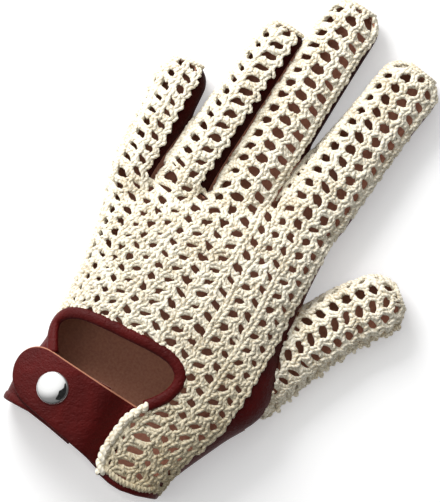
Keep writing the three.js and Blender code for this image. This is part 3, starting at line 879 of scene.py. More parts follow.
class Yarn:
    """Gathers strands of yarn and turns them into one mesh."""

    def __init__(self, name: str, look: YarnLook) -> None:
        """Starts an empty piece.

        Args:
            name: The piece's name.
            look: Its yarn.
        """
        self.name = name
        self.look = look
        self.points: list[Array] = []
        self.uvs: list[Array] = []
        self.faces: list[Array] = []
        self.base = 0

    def add(self, strands: Array, reference: Array, radius: Array | float) -> None:
        """Adds strands that have the same number of points.

        Args:
            strands: Points, strand by strand.
            reference: A direction for each point that the strand doesn't run along.
            radius: The yarn's radius at each point, or one for all.
        """
        count, steps = strands.shape[:2]
        sides = self.look.sides
        ahead = np.empty_like(strands)
        ahead[:, 1:-1] = strands[:, 2:] - strands[:, :-2]
        ahead[:, 0] = strands[:, 1] - strands[:, 0]
        ahead[:, -1] = strands[:, -1] - strands[:, -2]
        ahead /= np.maximum(np.linalg.norm(ahead, axis=2, keepdims=True), 1e-9)
        side = np.cross(ahead, reference)
        side /= np.maximum(np.linalg.norm(side, axis=2, keepdims=True), 1e-9)
        up = np.cross(side, ahead)
        width = np.broadcast_to(np.asarray(radius, float), (count, steps)).copy()
        width[:, [0, -1]] *= self.look.taper
        angle = np.linspace(0, 2 * math.pi, sides, endpoint=False)
        cos, sin = np.cos(angle)[:, None], np.sin(angle)[:, None]
        ring = side[:, :, None] * cos + up[:, :, None] * sin
        points = strands[:, :, None] + ring * width[:, :, None, None]
        step = np.linalg.norm(np.diff(strands, axis=1), axis=2)
        run = np.concatenate([np.zeros((count, 1)), np.cumsum(step, axis=1)], axis=1)
        uv = np.empty((count, steps, sides, 3))
        uv[..., 0] = (run + RANDOM.uniform(0, 9, (count, 1)))[:, :, None]
        uv[..., 1] = np.cos(angle)
        uv[..., 2] = np.sin(angle)
        start = self.base + np.arange(count)[:, None, None] * steps * sides
        quads = (start + tube_faces(steps, sides)).reshape(-1, 4)
        self.points.append(points.reshape(-1, 3))
        self.uvs.append(uv.reshape(-1, 3))
        self.faces.append(quads)
        self.base += count * steps * sides

    def build(self, material: bpy.types.Material) -> bpy.types.Object:
        """Makes the mesh object, with the yarn's own directions stored for its material.

        Args:
            material: The yarn's material.

        Returns:
            The new object.
        """
        thing = mesh_object(self.name, np.vstack(self.points), np.vstack(self.faces), material)
        store = thing.data.attributes.new("yarn", "FLOAT_VECTOR", "POINT")
        store.data.foreach_set("vector", np.vstack(self.uvs).astype(np.float32).ravel())
        return thing


class Sheet:
    """A grid of rows and ribs laid on the hand; rows are counted in millimetres along it."""

    FINE = 4
    STEP = 1.25

    def __init__(self, form: HandForm, curves: list[Array], start: float) -> None:
        """Lays the grid.

        Args:
            form: The hand it lies on.
            curves: One line of points per rib, a step apart.
            start: The first row's place along the hand.
        """
        ribs = np.stack(curves, axis=1)
        share = np.arange((len(curves) - 1) * self.FINE + 1) / self.FINE
        low = np.minimum(share.astype(int), len(curves) - 2)
        part = (share - low)[None, :, None]
        grid = ribs[:, low] * (1 - part) + ribs[:, low + 1] * part
        self.start = start
        self.end = start + (len(grid) - 1) * self.STEP
        self.place, self.out = form.snap(grid)
        for _ in range(2):
            self.out[1:-1] = (self.out[:-2] + 2 * self.out[1:-1] + self.out[2:]) / 4
        self.out /= np.maximum(np.linalg.norm(self.out, axis=2, keepdims=True), 1e-6)
        right = np.gradient(self.place, axis=1)
        ahead = np.gradient(self.place, axis=0)
        wide = np.linalg.norm(right, axis=2, keepdims=True)
        self.width = wide[..., 0] * self.FINE
        self.right = right / np.maximum(wide, 1e-6)
        self.ahead = ahead / np.maximum(np.linalg.norm(ahead, axis=2, keepdims=True), 1e-6)

    def read(self, field: Array, rib: Array, row: Array) -> Array:
        """Reads a field of the grid between its points.

        Args:
            field: The field, row by row.
            rib: Places across, counted in ribs.
            row: Places along the hand.

        Returns:
            The field's value at each place.
        """
        c = np.clip(np.asarray(rib) * self.FINE, 0, field.shape[1] - 1.001)
        r = np.clip((np.asarray(row) - self.start) / self.STEP, 0, field.shape[0] - 1.001)
        i, j = r.astype(int), c.astype(int)
        fr, fc = r - i, c - j
        if field.ndim == 3:
            fr, fc = fr[..., None], fc[..., None]
        top = field[i, j] * (1 - fc) + field[i, j + 1] * fc
        low = field[i + 1, j] * (1 - fc) + field[i + 1, j + 1] * fc
        return top * (1 - fr) + low * fr

    def at(self, rib: Array, row: Array, across: Array, out: Array) -> Array:
        """Finds points on the sheet.

        Args:
            rib: Places across, counted in ribs.
            row: Places along the hand.
            across: Millimetres further across.
            out: Millimetres out of the surface.

        Returns:
            The points.
        """
        return (
            self.read(self.place, rib, row)
            + self.read(self.right, rib, row) * np.asarray(across)[..., None]
            + self.read(self.out, rib, row) * np.asarray(out)[..., None]
        )


class RibLines:
    """The lines that the crochet's ribs follow over the hand and the fingers."""

    START = -84.0
    ARC_STEP = 1.5
    NO_RIB = -90

    def __init__(self, form: HandForm) -> None:
        """Draws the lines on the hand."""
        self.form = form
        self.on_body = self._body_lines()

    @staticmethod
    def _cross(across: Array, run: Array, target: float) -> float:
        """Finds where a line over a section passes a distance across it.

        Args:
            across: The line's distances across the section.
            run: Its run at each.
            target: The distance.

        Returns:
            The run there, or the line's end if it doesn't get so far.
        """
        k = int(np.argmax(across >= target)) if across[-1] >= target else len(across) - 1
        return float(run[k])

    def _body_lines(self) -> Array:
        """Draws each rib's line on the hand.

        Returns:
            The points, step by step along the hand and rib by rib.
        """
        levels = np.array(RIB_LEVELS)
        lines = np.array(RIB_LINES)
        count = len(lines) + SIDE_RIBS
        rows = []
        for t in np.arange(self.START - 2.0, 44.0, self.ARC_STEP):
            points, _, run = self.form.body.arc(t, BODY_EDGE_Z, BODY_EDGE_Z)
            where = np.zeros(count)
            for k, line in enumerate(lines):
                gap = points[:, 0] - np.interp(points[:, 1], levels, line)
                where[SIDE_RIBS + k] = self._cross(gap, run, 0.0)
            where[:SIDE_RIBS] = where[SIDE_RIBS] * np.arange(SIDE_RIBS) / SIDE_RIBS
            rows.append([[np.interp(w, run, points[:, axis]) for axis in range(3)] for w in where])
        table = np.array(rows)
        steps = np.arange(self.START, 48.0, Sheet.STEP)
        out = np.empty((len(steps), count, 3))
        for k in range(count):
            for axis in range(3):
                out[:, k, axis] = np.interp(steps, table[:, k, 1], table[:, k, axis])
            out[:, k, 1] = np.minimum(steps, table[-1, k, 1])
        return out

    def _finger_lines(self, size: FingerSize, places: Array) -> tuple[Array, Array]:
        """Draws each rib's line on a finger.

        Args:
            size: The finger.
            places: Places along it, from its crotch.

        Returns:
            The ribs' points, and the line of its little-finger side seam.
        """
        limb = self.form.fingers[size.name]
        shaft_end = size.length - TIP_RADIUS - 1.5
        base = float(limb.at(np.array(shaft_end))["half"])
        lines, seam = [], []
        for d in places:
            d = max(d, -ROOT_DEPTH)
            low = np.interp(d, [size.length - 11.0, size.length - 4.0], [CROCHET_EDGE_Z, 7.4])
            points, across, run = limb.arc(d, low, low)
            half = float(limb.at(np.array(d))["half"])
            shrink = min(half / base, 1.0) if d > shaft_end else 1.0
            row = []
            for rib, last in zip(size.ribs, size.at_tip):
                fade = np.clip((d - size.length + TIP_FADE) / TIP_FADE, 0, 1)
                want = (np.interp(d, FINGER_LEVELS, rib) * (1 - fade) + last * fade) * shrink
                row.append(self._cross(across, run, want) if want > self.NO_RIB * shrink else 0.0)
            lines.append([[np.interp(w, run, points[:, axis]) for axis in range(3)] for w in row])
            seam.append(points[0])
        return np.array(lines), np.array(seam)

    def finger(self, size: FingerSize) -> tuple[list[Array], Array]:
        """Draws the ribs from the wrist to a finger's tip, and the finger's side seam.

        Args:
            size: The finger.

        Returns:
            One line per rib, and the seam's line.
        """
        steps = np.arange(self.START, size.y + size.length - 0.3, Sheet.STEP)
        d = steps - size.y
        fingers, seam = self._finger_lines(size, d)
        weight = np.clip((d + 9.0) / 12.0, 0, 1)
        weight = (weight * weight * (3 - 2 * weight))[:, None]
        lines = []
        for k in range(len(size.ribs)):
            body = self.on_body[np.minimum(np.arange(len(steps)), len(self.on_body) - 1), size.first_rib + k]
            lines.append(body * (1 - weight) + fingers[:, k] * weight)
        return lines, seam


class Shading:
    """The nodes of one material, added and linked as its finish asks."""

    def __init__(self, name: str) -> None:
        """Makes a new material with the standard surface shader.

        Args:
            name: The material's name.
        """
        self.material = bpy.data.materials.new(name)
        self.material.use_nodes = True
        self.nodes = self.material.node_tree.nodes
        self.links = self.material.node_tree.links
        self.place: bpy.types.Node | None = None

    def node(self, kind: str, values: dict[str, float] | None = None) -> bpy.types.Node:
        """Adds a node.

        Args:
            kind: Its type, as it is named after "ShaderNode".
            values: Numbers by input name.

        Returns:
            The new node.
        """
        node = self.nodes.new(f"ShaderNode{kind}")
        for name, value in (values or {}).items():
            node.inputs[name].default_value = value
        return node

    def on_piece(self, node: bpy.types.Node) -> Socket:
        """Lays a texture out by the place on the piece, in metres.

        Args:
            node: The texture's node.

        Returns:
            The node's first output.
        """
        if self.place is None:
            self.place = self.node("TexCoord")
        self.links.new(self.place.outputs["Object"], node.inputs["Vector"])
        return node.outputs[0]

    def math(self, kind: str, *values: float | Socket) -> Socket:
        """Adds a sum.

        Args:
            kind: The operation.
            values: Its numbers, or the outputs that give them.

        Returns:
            The result's output.
        """
        node = self.node("Math")
        node.operation = kind
        for socket, value in zip(node.inputs, values):
            if isinstance(value, bpy.types.NodeSocket):
                self.links.new(value, socket)
            else:
                socket.default_value = value
        return node.outputs[0]

    def blend(self, share: Socket, low: tuple[float, Colour], high: tuple[float, Colour]) -> Socket:
        """Turns a value into a colour.

        Args:
            share: The value's output.
            low: The value and colour of the lower stop.
            high: The value and colour of the upper stop.

        Returns:
            The colour's output.
        """
        node = self.node("ValToRGB")
        for stop, (position, colour) in zip(node.color_ramp.elements, (low, high)):
            stop.position = position
            stop.color = (*colour, 1)
        self.links.new(share, node.inputs[0])
        return node.outputs[0]

    def span(self, value: Socket, values: dict[str, float]) -> Socket:
        """Stretches a value over another range.

        Args:
            value: The value's output.
            values: The ends of the two ranges, by input name.

        Returns:
            The result's output.
        """
        node = self.node("MapRange", values)
        self.links.new(value, node.inputs[0])
        return node.outputs[0]

    def bump(self, height: Socket, strength: float, distance: float, under: Socket | None = None) -> Socket:
        """Adds relief.

        Args:
            height: The height's output.
            strength: How much of it shows.
            distance: Metres from its lowest to its highest.
            under: A broader relief's output, or none.

        Returns:
            The normal's output.
        """
        node = self.node("Bump", {"Strength": strength, "Distance": distance})
        self.links.new(height, node.inputs["Height"])
        if under is not None:
            self.links.new(under, node.inputs["Normal"])
        return node.outputs[0]

    def surface(self, values: dict[str, float | Colour | Socket]) -> bpy.types.Material:
        """Sets or links the shader's inputs.

        Args:
            values: By input name, a number, a colour or the output that gives it.

        Returns:
            The finished material.
        """
        shader = self.nodes["Principled BSDF"]
        for name, value in values.items():
            if isinstance(value, bpy.types.NodeSocket):
                self.links.new(value, shader.inputs[name])
            else:
                shader.inputs[name].default_value = (*value, 1) if isinstance(value, tuple) else value
        return self.material


@dataclass(frozen=True)
class YarnFinish:
    """Matt cotton yarn of two plies, with painted shade: a share of darker, creamier colour towards the
    wrist's thumb side, where less light falls.
    """

    name: str
    # Share of painted shade towards the wrist's thumb side, from none to full.
    painted_shade: float
    # Scales the whole colour; above 1 it makes a lighter copy of the same yarn, painted light.
    pale: float
    rough: float = 0.92
    shine: float = 0.25
    sheen: float = 0.3
    sheen_rough: float = 0.5
    twist: float = 1.5
    fibre_scale: float = 2600
    tone_scale: float = 120
    # Ends of the colour ramp: random tone, and painted shade in the grooves between the plies.
    dark: Colour = (0.58, 0.48, 0.32)
    light: Colour = (0.91, 0.855, 0.71)
    # The painted shade's colour, the direction in plan that it deepens towards, and its reach in metres.
    shade_colour: Colour = (0.62, 0.57, 0.46)
    towards: Triple = (0.55, -0.6, 0.0)
    shade_reach: float = 0.055

    def _ply(self, shading: Shading) -> Socket:
        """Works out the relief of two plies that wind round each other.

        Args:
            shading: The material's nodes.

        Returns:
            The relief's output, from -1 to 1.
        """
        yarn = shading.node("Attribute")
        yarn.attribute_name = "yarn"
        split = shading.node("SeparateXYZ")
        shading.links.new(yarn.outputs["Vector"], split.inputs[0])
        along, cos, sin = split.outputs
        phase = shading.math("MULTIPLY", along, 2 * math.pi / self.twist)
        squares = [shading.math("MULTIPLY", side, side) for side in (cos, sin)]
        cos2 = shading.math("SUBTRACT", *squares)
        sin2 = shading.math("MULTIPLY", shading.math("MULTIPLY", cos, sin), 2.0)
        return shading.math(
            "SUBTRACT",
            shading.math("MULTIPLY", cos2, shading.math("COSINE", phase)),
            shading.math("MULTIPLY", sin2, shading.math("SINE", phase)),
        )

    def _shade_by_place(self, shading: Shading, colour: Socket) -> Socket:
        """Paints shade into a colour, darker and creamier towards the wrist's thumb side.

        Args:
            shading: The material's nodes.
            colour: The plain colour's output.

        Returns:
            The colour's output, with the painted shade.
        """
        dot = shading.node("VectorMath")
        dot.operation = "DOT_PRODUCT"
        dot.inputs[1].default_value = self.towards
        shading.on_piece(dot)
        share = shading.span(
            dot.outputs["Value"], {"From Min": 0.0, "From Max": self.shade_reach, "To Max": self.painted_shade}
        )
        # Painted shade: the yarn's colour is multiplied by a darker cream.
        shade_mix = shading.node("Mix")
        shade_mix.data_type = "RGBA"
        shade_mix.blend_type = "MULTIPLY"
        plain, shade_colour = [socket for socket in shade_mix.inputs if socket.type == "RGBA"]
        shade_colour.default_value = (*self.shade_colour, 1)
        shading.links.new(share, shade_mix.inputs[0])
        shading.links.new(colour, plain)
        return next(socket for socket in shade_mix.outputs if socket.type == "RGBA")

    def build(self) -> bpy.types.Material:
        """Makes the material.

        Returns:
            The material.
        """
        shading = Shading(self.name)
        ply = self._ply(shading)
        fibres = shading.on_piece(shading.node("TexNoise", {"Scale": self.fibre_scale, "Detail": 3}))
        height = shading.math("MULTIPLY_ADD", ply, 0.55, shading.math("MULTIPLY", fibres, 0.9))
        tone = shading.on_piece(shading.node("TexNoise", {"Scale": self.tone_scale, "Detail": 4}))
        # Tone varies at random with the noise; the ply term paints shade into the grooves between the plies.
        shade = shading.math("MULTIPLY_ADD", ply, 0.2, shading.math("MULTIPLY", tone, 0.9))
        dark = tuple(c * self.pale for c in self.dark)
        light = tuple(c * self.pale for c in self.light)
        return shading.surface({
            "Roughness": self.rough,
            "Specular IOR Level": self.shine,
            "Sheen Weight": self.sheen,
            "Sheen Roughness": self.sheen_rough,
            "Normal": shading.bump(height, 0.75, 0.0002),
            "Base Color": self._shade_by_place(shading, shading.blend(shade, (0.1, dark), (0.55, light))),
        })


@dataclass(frozen=True)
class LeatherFinish:
    """Grained leather with broad soft creases."""

    name: str
    colour: Colour
    rough: float
    shine: float
    grain_scale: float = 950
    grain_share: float = 0.6
    fine_scale: float = 700
    crease_scale: float = 70
    crease_bend: float = 0.6

    def build(self) -> bpy.types.Material:
        """Makes the material.

        Returns:
            The material.
        """
        shading = Shading(self.name)
        cells = shading.node("TexVoronoi", {"Scale": self.grain_scale})
        cells.feature = "DISTANCE_TO_EDGE"
        shading.on_piece(cells)
        fine = shading.on_piece(shading.node("TexNoise", {"Scale": self.fine_scale, "Detail": 5}))
        broad = {"Scale": self.crease_scale, "Detail": 3, "Distortion": self.crease_bend}
        creases = shading.on_piece(shading.node("TexNoise", broad))
        grain = shading.math("MULTIPLY_ADD", cells.outputs["Distance"], self.grain_share, fine)
        relief = shading.bump(creases, 0.35, 0.0012, shading.bump(grain, 1.0, 0.0004))
        low = tuple(c * 0.78 for c in self.colour)
        high = tuple(c * 1.25 for c in self.colour)
        return shading.surface({
            "Roughness": self.rough,
            "Specular IOR Level": self.shine,
            "Normal": relief,
            "Base Color": shading.blend(creases, (0.3, low), (0.72, high)),
        })


@dataclass(frozen=True)
class SuedeFinish:
    """The leather's napped inside."""

    name: str = "leather's inside"
    low: Colour = (0.31, 0.135, 0.088)
    high: Colour = (0.4, 0.185, 0.122)
    nap_scale: float = 900

    def build(self) -> bpy.types.Material:
        """Makes the material.

        Returns:
            The material.
        """
        shading = Shading(self.name)
        nap = shading.on_piece(shading.node("TexNoise", {"Scale": self.nap_scale, "Detail": 6}))
        return shading.surface({
            "Roughness": 0.95,
            "Specular IOR Level": 0.15,
            "Sheen Weight": 0.15,
            "Base Color": shading.blend(nap, (0.3, self.low), (0.7, self.high)),
            "Normal": shading.bump(nap, 0.4, 0.0002),
        })


@dataclass(frozen=True)
class MetalFinish:
    """The snap's polished metal."""

    name: str = "polished snap"
    colour: Colour = (0.94, 0.94, 0.93)
    least_rough: float = 0.03
    most_rough: float = 0.05
    scale: float = 400

    def build(self) -> bpy.types.Material:
        """Makes the material.

        Returns:
            The material.
        """
        shading = Shading(self.name)
        noise = shading.node("TexNoise", {"Scale": self.scale}).outputs[0]
        rough = shading.span(noise, {"To Min": self.least_rough, "To Max": self.most_rough})
        return shading.surface({"Metallic": 1.0, "Roughness": rough, "Base Color": self.colour})


@dataclass(frozen=True)
class SpeckledFinish:
    """A matt finish that varies a little in shade; it may glow, so that shadows on it stay soft."""

    name: str
    low: Colour
    high: Colour
    rough: float
    scale: float
    glow: float = 0.0

    def build(self) -> bpy.types.Material:
        """Makes the material.

        Returns:
            The material.
        """
        shading = Shading(self.name)
        noise = shading.node("TexNoise", {"Scale": self.scale}).outputs[0]
        return shading.surface({
            "Roughness": self.rough,
            "Base Color": shading.blend(noise, (0.0, self.low), (1.0, self.high)),
            "Emission Color": (1.0, 1.0, 1.0),
            "Emission Strength": self.glow,
        })


@dataclass(frozen=True)
class CardFinish:
    """The dark card that the snap reflects."""

    name: str = "dark card"
    colour: Colour = (0.004, 0.004, 0.004)
    rough: float = 0.9

    def build(self) -> bpy.types.Material:
        """Makes the material, and returns it."""
        return Shading(self.name).surface({"Base Color": self.colour, "Roughness": self.rough})


class Materials:
    """Every material of the scene, made once."""

    def __init__(self) -> None:
        """Makes the materials."""
        # The back's yarn, with painted shade towards the wrist's thumb side.
        self.crochet = YarnFinish("cotton yarn", painted_shade=1.0, pale=1.0).build()
        # The thumb's and the edging's yarn: the same yarn without the painted shade, made lighter as painted
        # light.
        self.plain = YarnFinish("cotton yarn, painted lighter", painted_shade=0.0, pale=1.07).build()
        self.leather = LeatherFinish("oxblood leather", (0.073, 0.0036, 0.003), 0.5, 0.13).build()
        # The side strips: a darker copy of the same leather, painted shade for the shade between the
        # fingers.
        self.strips = LeatherFinish("oxblood leather, painted shade", (0.024, 0.0008, 0.0006), 0.6, 0.04).build()
        self.suede = SuedeFinish().build()
        raw = ((0.3, 0.1, 0.055), (0.52, 0.24, 0.14))
        self.edge = SpeckledFinish("raw leather edge", *raw, rough=0.8, scale=900).build()
        self.metal = MetalFinish().build()
        pale = ((0.78,) * 3, (0.82,) * 3)
        self.floor = SpeckledFinish("pale table", *pale, rough=0.7, scale=3, glow=0.37).build()
        self.card = CardFinish().build()


def dress(thing: bpy.types.Object, node: str) -> bpy.types.Object:
    """Lets a piece ride the glove's body and stand for a node.

    Args:
        thing: The piece.
        node: The node that it replaces.

    Returns:
        The same piece.
    """
    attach(thing, "root")
    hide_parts(node)
    return thing


@dataclass
class Ground:
    """What strands are laid with: their mesh, the grid, and a test of which points may hold yarn."""

    yarn: Yarn
    sheet: Sheet
    clear: Callable[[Array], Array]


@dataclass
class Crochet:
    """The open crochet: ribs of nested stitches with bundles of yarn between them."""

    form: HandForm
    lines: Outlines
    finish: Materials
    look: YarnLook = YarnLook(radius=0.74)
    stitch: float = 2.75
    stitch_along: tuple[float, ...] = (-0.42, 0.0, 0.42, 0.84, 1.14, 1.3)
    stitch_across: tuple[float, ...] = (0.06, 0.32, 0.72, 1.02, 1.06, 0.7)
    stitch_out: tuple[float, ...] = (-0.8, 0.2, 0.72, 0.66, 0.1, -0.75)
    core_step: float = 1.3
    core_sunk: float = 0.75
    sway: float = 0.45
    sink: float = 0.25
    leg_twist: float = 0.14
    leg_lean: float = 0.1
    stitch_uneven: float = 0.03
    least_width: float = 2.3
    narrow_width: float = 4.2
    three_strand_post: float = 2.5
    post_turn: float = 0.3
    post_splay: tuple[float, float] = (0.35, 0.85)
    post_curl: tuple[float, float] = (0.8, 1.7)
    post_lift: float = 0.45
    hole_uneven: float = 0.08
    slant_uneven: float = 0.15
    row_uneven: float = 0.12
    hand_rib: float = 1.95
    finger_rib: float = 1.75
    side_rib: float = 1.3
    thumb_rib: float = 1.7
    first_rib_row: float = -82.0
    first_post_row: float = -80.0
    thumb_start: float = -2.0
    thumb_ribs: int = 5
    thumb_edge: float = 7.6
    thumb_pitch: float = 5.6
    thumb_slant: float = 1.7
    tip_strand: float = 0.76
    tip_inset: float = 1.3
    tip_edge: float = 7.0
    wrist_strand: float = 0.78
    wrist_inset: float = 2.5
    fringe_strand: float = 0.62
    fringe_step: float = 3.3

    def __post_init__(self) -> None:
        """Draws the lines that the ribs follow."""
        self.ribs = RibLines(self.form)

    def thumb_sheet(self) -> Sheet:
        """Lays out the rows and ribs of the thumb's back.

        Returns:
            The grid.
        """
        limb = self.form.thumb
        rows = []
        for t in np.arange(self.thumb_start, limb.t[-1] - 0.3, Sheet.STEP):
            points, _, run = limb.arc(max(t, limb.t[0]), self.thumb_edge, self.thumb_edge)
            where = run[-1] * np.arange(self.thumb_ribs + 1) / self.thumb_ribs
            rows.append([[np.interp(w, run, points[:, axis]) for axis in range(3)] for w in where])
        table = np.array(rows)
        return Sheet(self.form, [table[:, k] for k in range(self.thumb_ribs + 1)], self.thumb_start)

    def clear_of_back(self, points: Array) -> Array:
        """Says which points of the back's stitches lie clear of the keyhole, the tab and the wrist.

        Args:
            points: The points.

        Returns:
            True where one lies clear.
        """
        flat = points.reshape(-1, 3)
        gap = polygon_distance(flat[:, :2], self.lines.tab)
        least = np.where(flat[:, 1] < FLAP_LINE[0][1], 0.9, -0.2)
        clear = (gap > least) & (self.lines.above_wrist(flat) > 1.2)
        return clear.reshape(points.shape[:-1])

    def clear_of_palm(self, points: Array) -> Array:
        """Says which points of the thumb's stitches lie clear of the palm."""
        return (self.lines.thumb(points.reshape(-1, 3)) > -0.4).reshape(points.shape[:-1])

    @staticmethod
    def _trim(strand: Array, out: Array, mask: Array) -> tuple[Array, Array]:
        """Keeps a strand's longest stretch that lies clear.

        Args:
            strand: The strand's points.
            out: The outward direction at each.
            mask: True where a point lies clear.

        Returns:
            The points that are left, and their directions.
        """
        if mask.all():
            return strand, out
        spans = np.flatnonzero(np.diff(np.concatenate([[0], mask.astype(int), [0]]))).reshape(-1, 2)
        if not len(spans):
            return strand[:0], out[:0]
        first, last = spans[np.argmax(spans[:, 1] - spans[:, 0])]
        return strand[first:last], out[first:last]

    def _lay(
        self, ground: Ground, rib: Array, row: Array, across: Array, out: Array,
        thick: float = 1.0,
    ) -> None:
        """Lays one strand, shaken a little out of place.

        Args:
            ground: What it is laid with.
            rib: The strand's ribs.
            row: Its rows.
            across: Millimetres across the ribs.
            out: Millimetres out of the surface.
            thick: The strand's thickness as a share of the yarn's.
        """
        sheet = ground.sheet
        ends = RANDOM.normal(0, self.look.wobble, (3, 3))
        place = np.linspace(0, 2, len(rib))
        shake = np.array([np.interp(place, [0, 1, 2], line) for line in ends])
        points = sheet.at(rib, row + shake[0], across + shake[1], out + shake[2] * 0.5 - self.sink)
        normal = sheet.read(sheet.out, rib, row)
        points, normal = self._trim(points, normal, ground.clear(points))
        if len(points) >= 3:
            radius = self.look.radius * thick * (1 + RANDOM.normal(0, self.look.uneven))
            ground.yarn.add(points[None], normal[None], radius)

    def _sway(self, sides: Sides, row: Array) -> Array:
        """Works out how far a rib is pulled towards its posts.

        Args:
            sides: The columns beside it, first the one on the little-finger side.
            row: Places along the hand.

        Returns:
            Millimetres towards the thumb side.
        """
        sway = np.zeros(len(row))
        for column, way in zip(sides, (1, -1)):
            if column is not None:
                pitch = np.where(row > PITCH_CHANGE, column.pitch[1], column.pitch[0])
                sway += way * self.sway * np.cos(2 * math.pi * (row - column.anchor) / pitch)
        return sway

    def rib(
        self, ground: Ground, rib: int, first: float, last: float, half: float, up: bool,
        sides: Sides = (None, None),
    ) -> None:
        """Works one rib: a core with nested two-legged stitches over it.

        Args:
            ground: What it is laid with.
            rib: Which rib.
            first: The row it starts at.
            last: The row it ends at.
            half: Half its width.
            up: Whether its stitches open towards the finger tips.
            sides: The columns on either side of it.
        """
        sheet = ground.sheet
        along = np.array(self.stitch_along) * self.stitch
        across = np.array(self.stitch_across) * (half - self.look.radius)
        out = np.array(self.stitch_out)
        row = np.arange(max(first, sheet.start), min(last, sheet.end - 0.5), self.core_step)
        sunk = np.full(len(row), -self.core_sunk)
        self._lay(ground, np.full(len(row), float(rib)), row, self._sway(sides, row), sunk, 1.2)
        way = 1 if up else -1
        at = first
        while at < last:
            start = at if up else at + self.stitch
            twist = RANDOM.normal(0, self.leg_twist)
            for side in (1, -1):
                row = start + way * along * (1 + side * twist)
                lean = 1 + RANDOM.normal(0, self.leg_lean)
                keep = (row > sheet.start) & (row < sheet.end)
                if keep.sum() > 3:
                    leg = side * lean * across + self._sway(sides, row)
                    self._lay(ground, np.full(keep.sum(), float(rib)), row[keep], leg[keep], out[keep])
            at += self.stitch * (1 + RANDOM.normal(0, self.stitch_uneven))

    def post(self, ground: Ground, rib: int, row: float, thick: float, slant: float) -> None:
        """Works one post: a bundle of strands across a column, with one wound round its middle.

        Args:
            ground: What it is laid with.
            rib: The rib at its little-finger side.
            row: Its middle's place along the hand.
            thick: The bundle's thickness.
            slant: How much higher its thumb side ends.
        """
        width = float(ground.sheet.read(ground.sheet.width, rib + 0.5, row))
        if width < self.least_width:
            return
        if width < self.narrow_width:
            slant *= 0.5
        way = 1 if slant > 0 else -1
        s = np.linspace(-0.05, 1.05, 11)
        end = np.abs(2 * s - 1)
        count = 3 if thick > self.three_strand_post else 2
        reach = max(thick / 2 - self.look.radius, 0.5)
        turn = RANDOM.normal(0, self.post_turn)
        splay = RANDOM.uniform(*self.post_splay)
        curl = RANDOM.uniform(*self.post_curl) * way
        sink = -0.15 - 0.3 * end**3
        for k in range(count):
            lane = 2 * k / (count - 1) - 1
            swing = lane * (reach * np.cos(turn * lane * (1 - end)) + splay * end**2.4)
            swing = swing + RANDOM.normal(0, 0.1)
            lift = self.post_lift * lane * np.sin(math.pi * 0.9 * (s - 0.5)) * way
            if count == 3 and k == 1:
                lift = lift + 0.4
            rows = row + slant * (s - 0.5) + swing + curl * np.sign(s - 0.5) * end**3.5
            self._lay(ground, rib + s, rows, np.zeros(len(s)), lift + sink, 1.05)
        s = np.linspace(0, 1, 7)
        middle = RANDOM.uniform(0.4, 0.6)
        place = middle + 0.34 * (s - 0.5 if slant > 0 else 0.5 - s)
        rows = row + slant * (place - 0.5) + np.cos(math.pi * s) * (reach + 0.45)
        out = np.sin(math.pi * s) * 1.15 - 0.5
        self._lay(ground, rib + place, rows, np.zeros(len(s)), out, 0.95)

    def column(self, ground: Ground, rib: int, column: Column, first: float, last: float) -> None:
        """Works the posts of one column between two places along the hand.

        Args:
            ground: What they are laid with.
            rib: The rib at the column's little-finger side.
            column: The column.
            first: Where it starts.
            last: Where it ends.
        """
        hole = column.anchor
        while hole < last + 8:
            hole += column.pitch[1] if hole > PITCH_CHANGE else column.pitch[0]
        while hole > first - 8:
            upper = int(hole > PITCH_CHANGE)
            pitch = column.pitch[upper]
            row = hole - pitch / 2
            if first < row < last:
                size = column.hole[upper] * (1 + RANDOM.normal(0, self.hole_uneven))
                slant = column.slant[upper] * (1 + RANDOM.normal(0, self.slant_uneven))
                self.post(ground, rib, row + RANDOM.normal(0, self.row_uneven), pitch - size, slant)
            hole -= pitch

    def tip_row(self, yarn: Yarn, limb: Limb) -> None:
        """Works the row that joins the crochet to the leather round a tip.

        Args:
            yarn: Where the strands go.
            limb: The finger or the thumb.
        """
        line, _, run = limb.arc(limb.t[-1] - self.tip_inset, self.tip_edge, self.tip_edge)
        at = np.arange(0, run[-1], 0.4)
        line = np.stack([np.interp(at, run, line[:, k]) for k in range(3)], axis=1)
        place, out = self.form.snap(line)
        for strand in range(2):
            turn = math.pi * (at / 1.5 + strand)
            points = place + out * (0.4 + 0.45 * np.sin(turn))[:, None]
            points[:, 2] += 0.6 * np.cos(turn)
            yarn.add(points[None], out[None], self.tip_strand)

    def fringe(self, yarn: Yarn, limb: Limb) -> None:
        """Works the ragged loops along a limb's thumb-side edge.

        Args:
            yarn: Where the strands go.
            limb: The thumb.
        """
        steps = np.linspace(-1.0, 1.0, 11)
        for t in np.arange(4.0, limb.t[-1] - 3.0, self.fringe_step):
            half = RANDOM.uniform(0.45, 1.0)
            reach = RANDOM.uniform(0.7, 2.4)
            height = RANDOM.uniform(8.0, 11.0)
            t_at = t + RANDOM.normal(0, 0.75) + half * steps * (1.4 - abs(steps) * 0.5)
            line = np.array([limb.arc(max(k, limb.t[0]), self.thumb_edge, height)[0][-1] for k in t_at])
            place, out = self.form.snap(line)
            if self.clear_of_palm(place).all():
                points = place + out * (0.2 + reach * np.sqrt(np.maximum(1 - steps**2, 0)))[:, None]
                yarn.add(points[None], out[None], self.fringe_strand)

    def last_row(self, yarn: Yarn) -> None:
        """Works the closing row along the wrist.

        Args:
            yarn: Where the strands go.
        """
        x = np.arange(-2.2, 22.0, 0.5)
        line = np.stack([x, self.lines.wrist_at(x) + self.wrist_inset, np.full(len(x), 25.0)], axis=1)
        place, out = self.form.snap(line)
        for strand in range(2):
            turn = math.pi * (x / 1.6 + strand) + RANDOM.normal(0, 0.15, len(x))
            points = place + out * (0.55 + 0.5 * np.sin(turn))[:, None]
            points[:, 1] += 0.75 * np.cos(turn)
            yarn.add(points[None], out[None], self.wrist_strand)

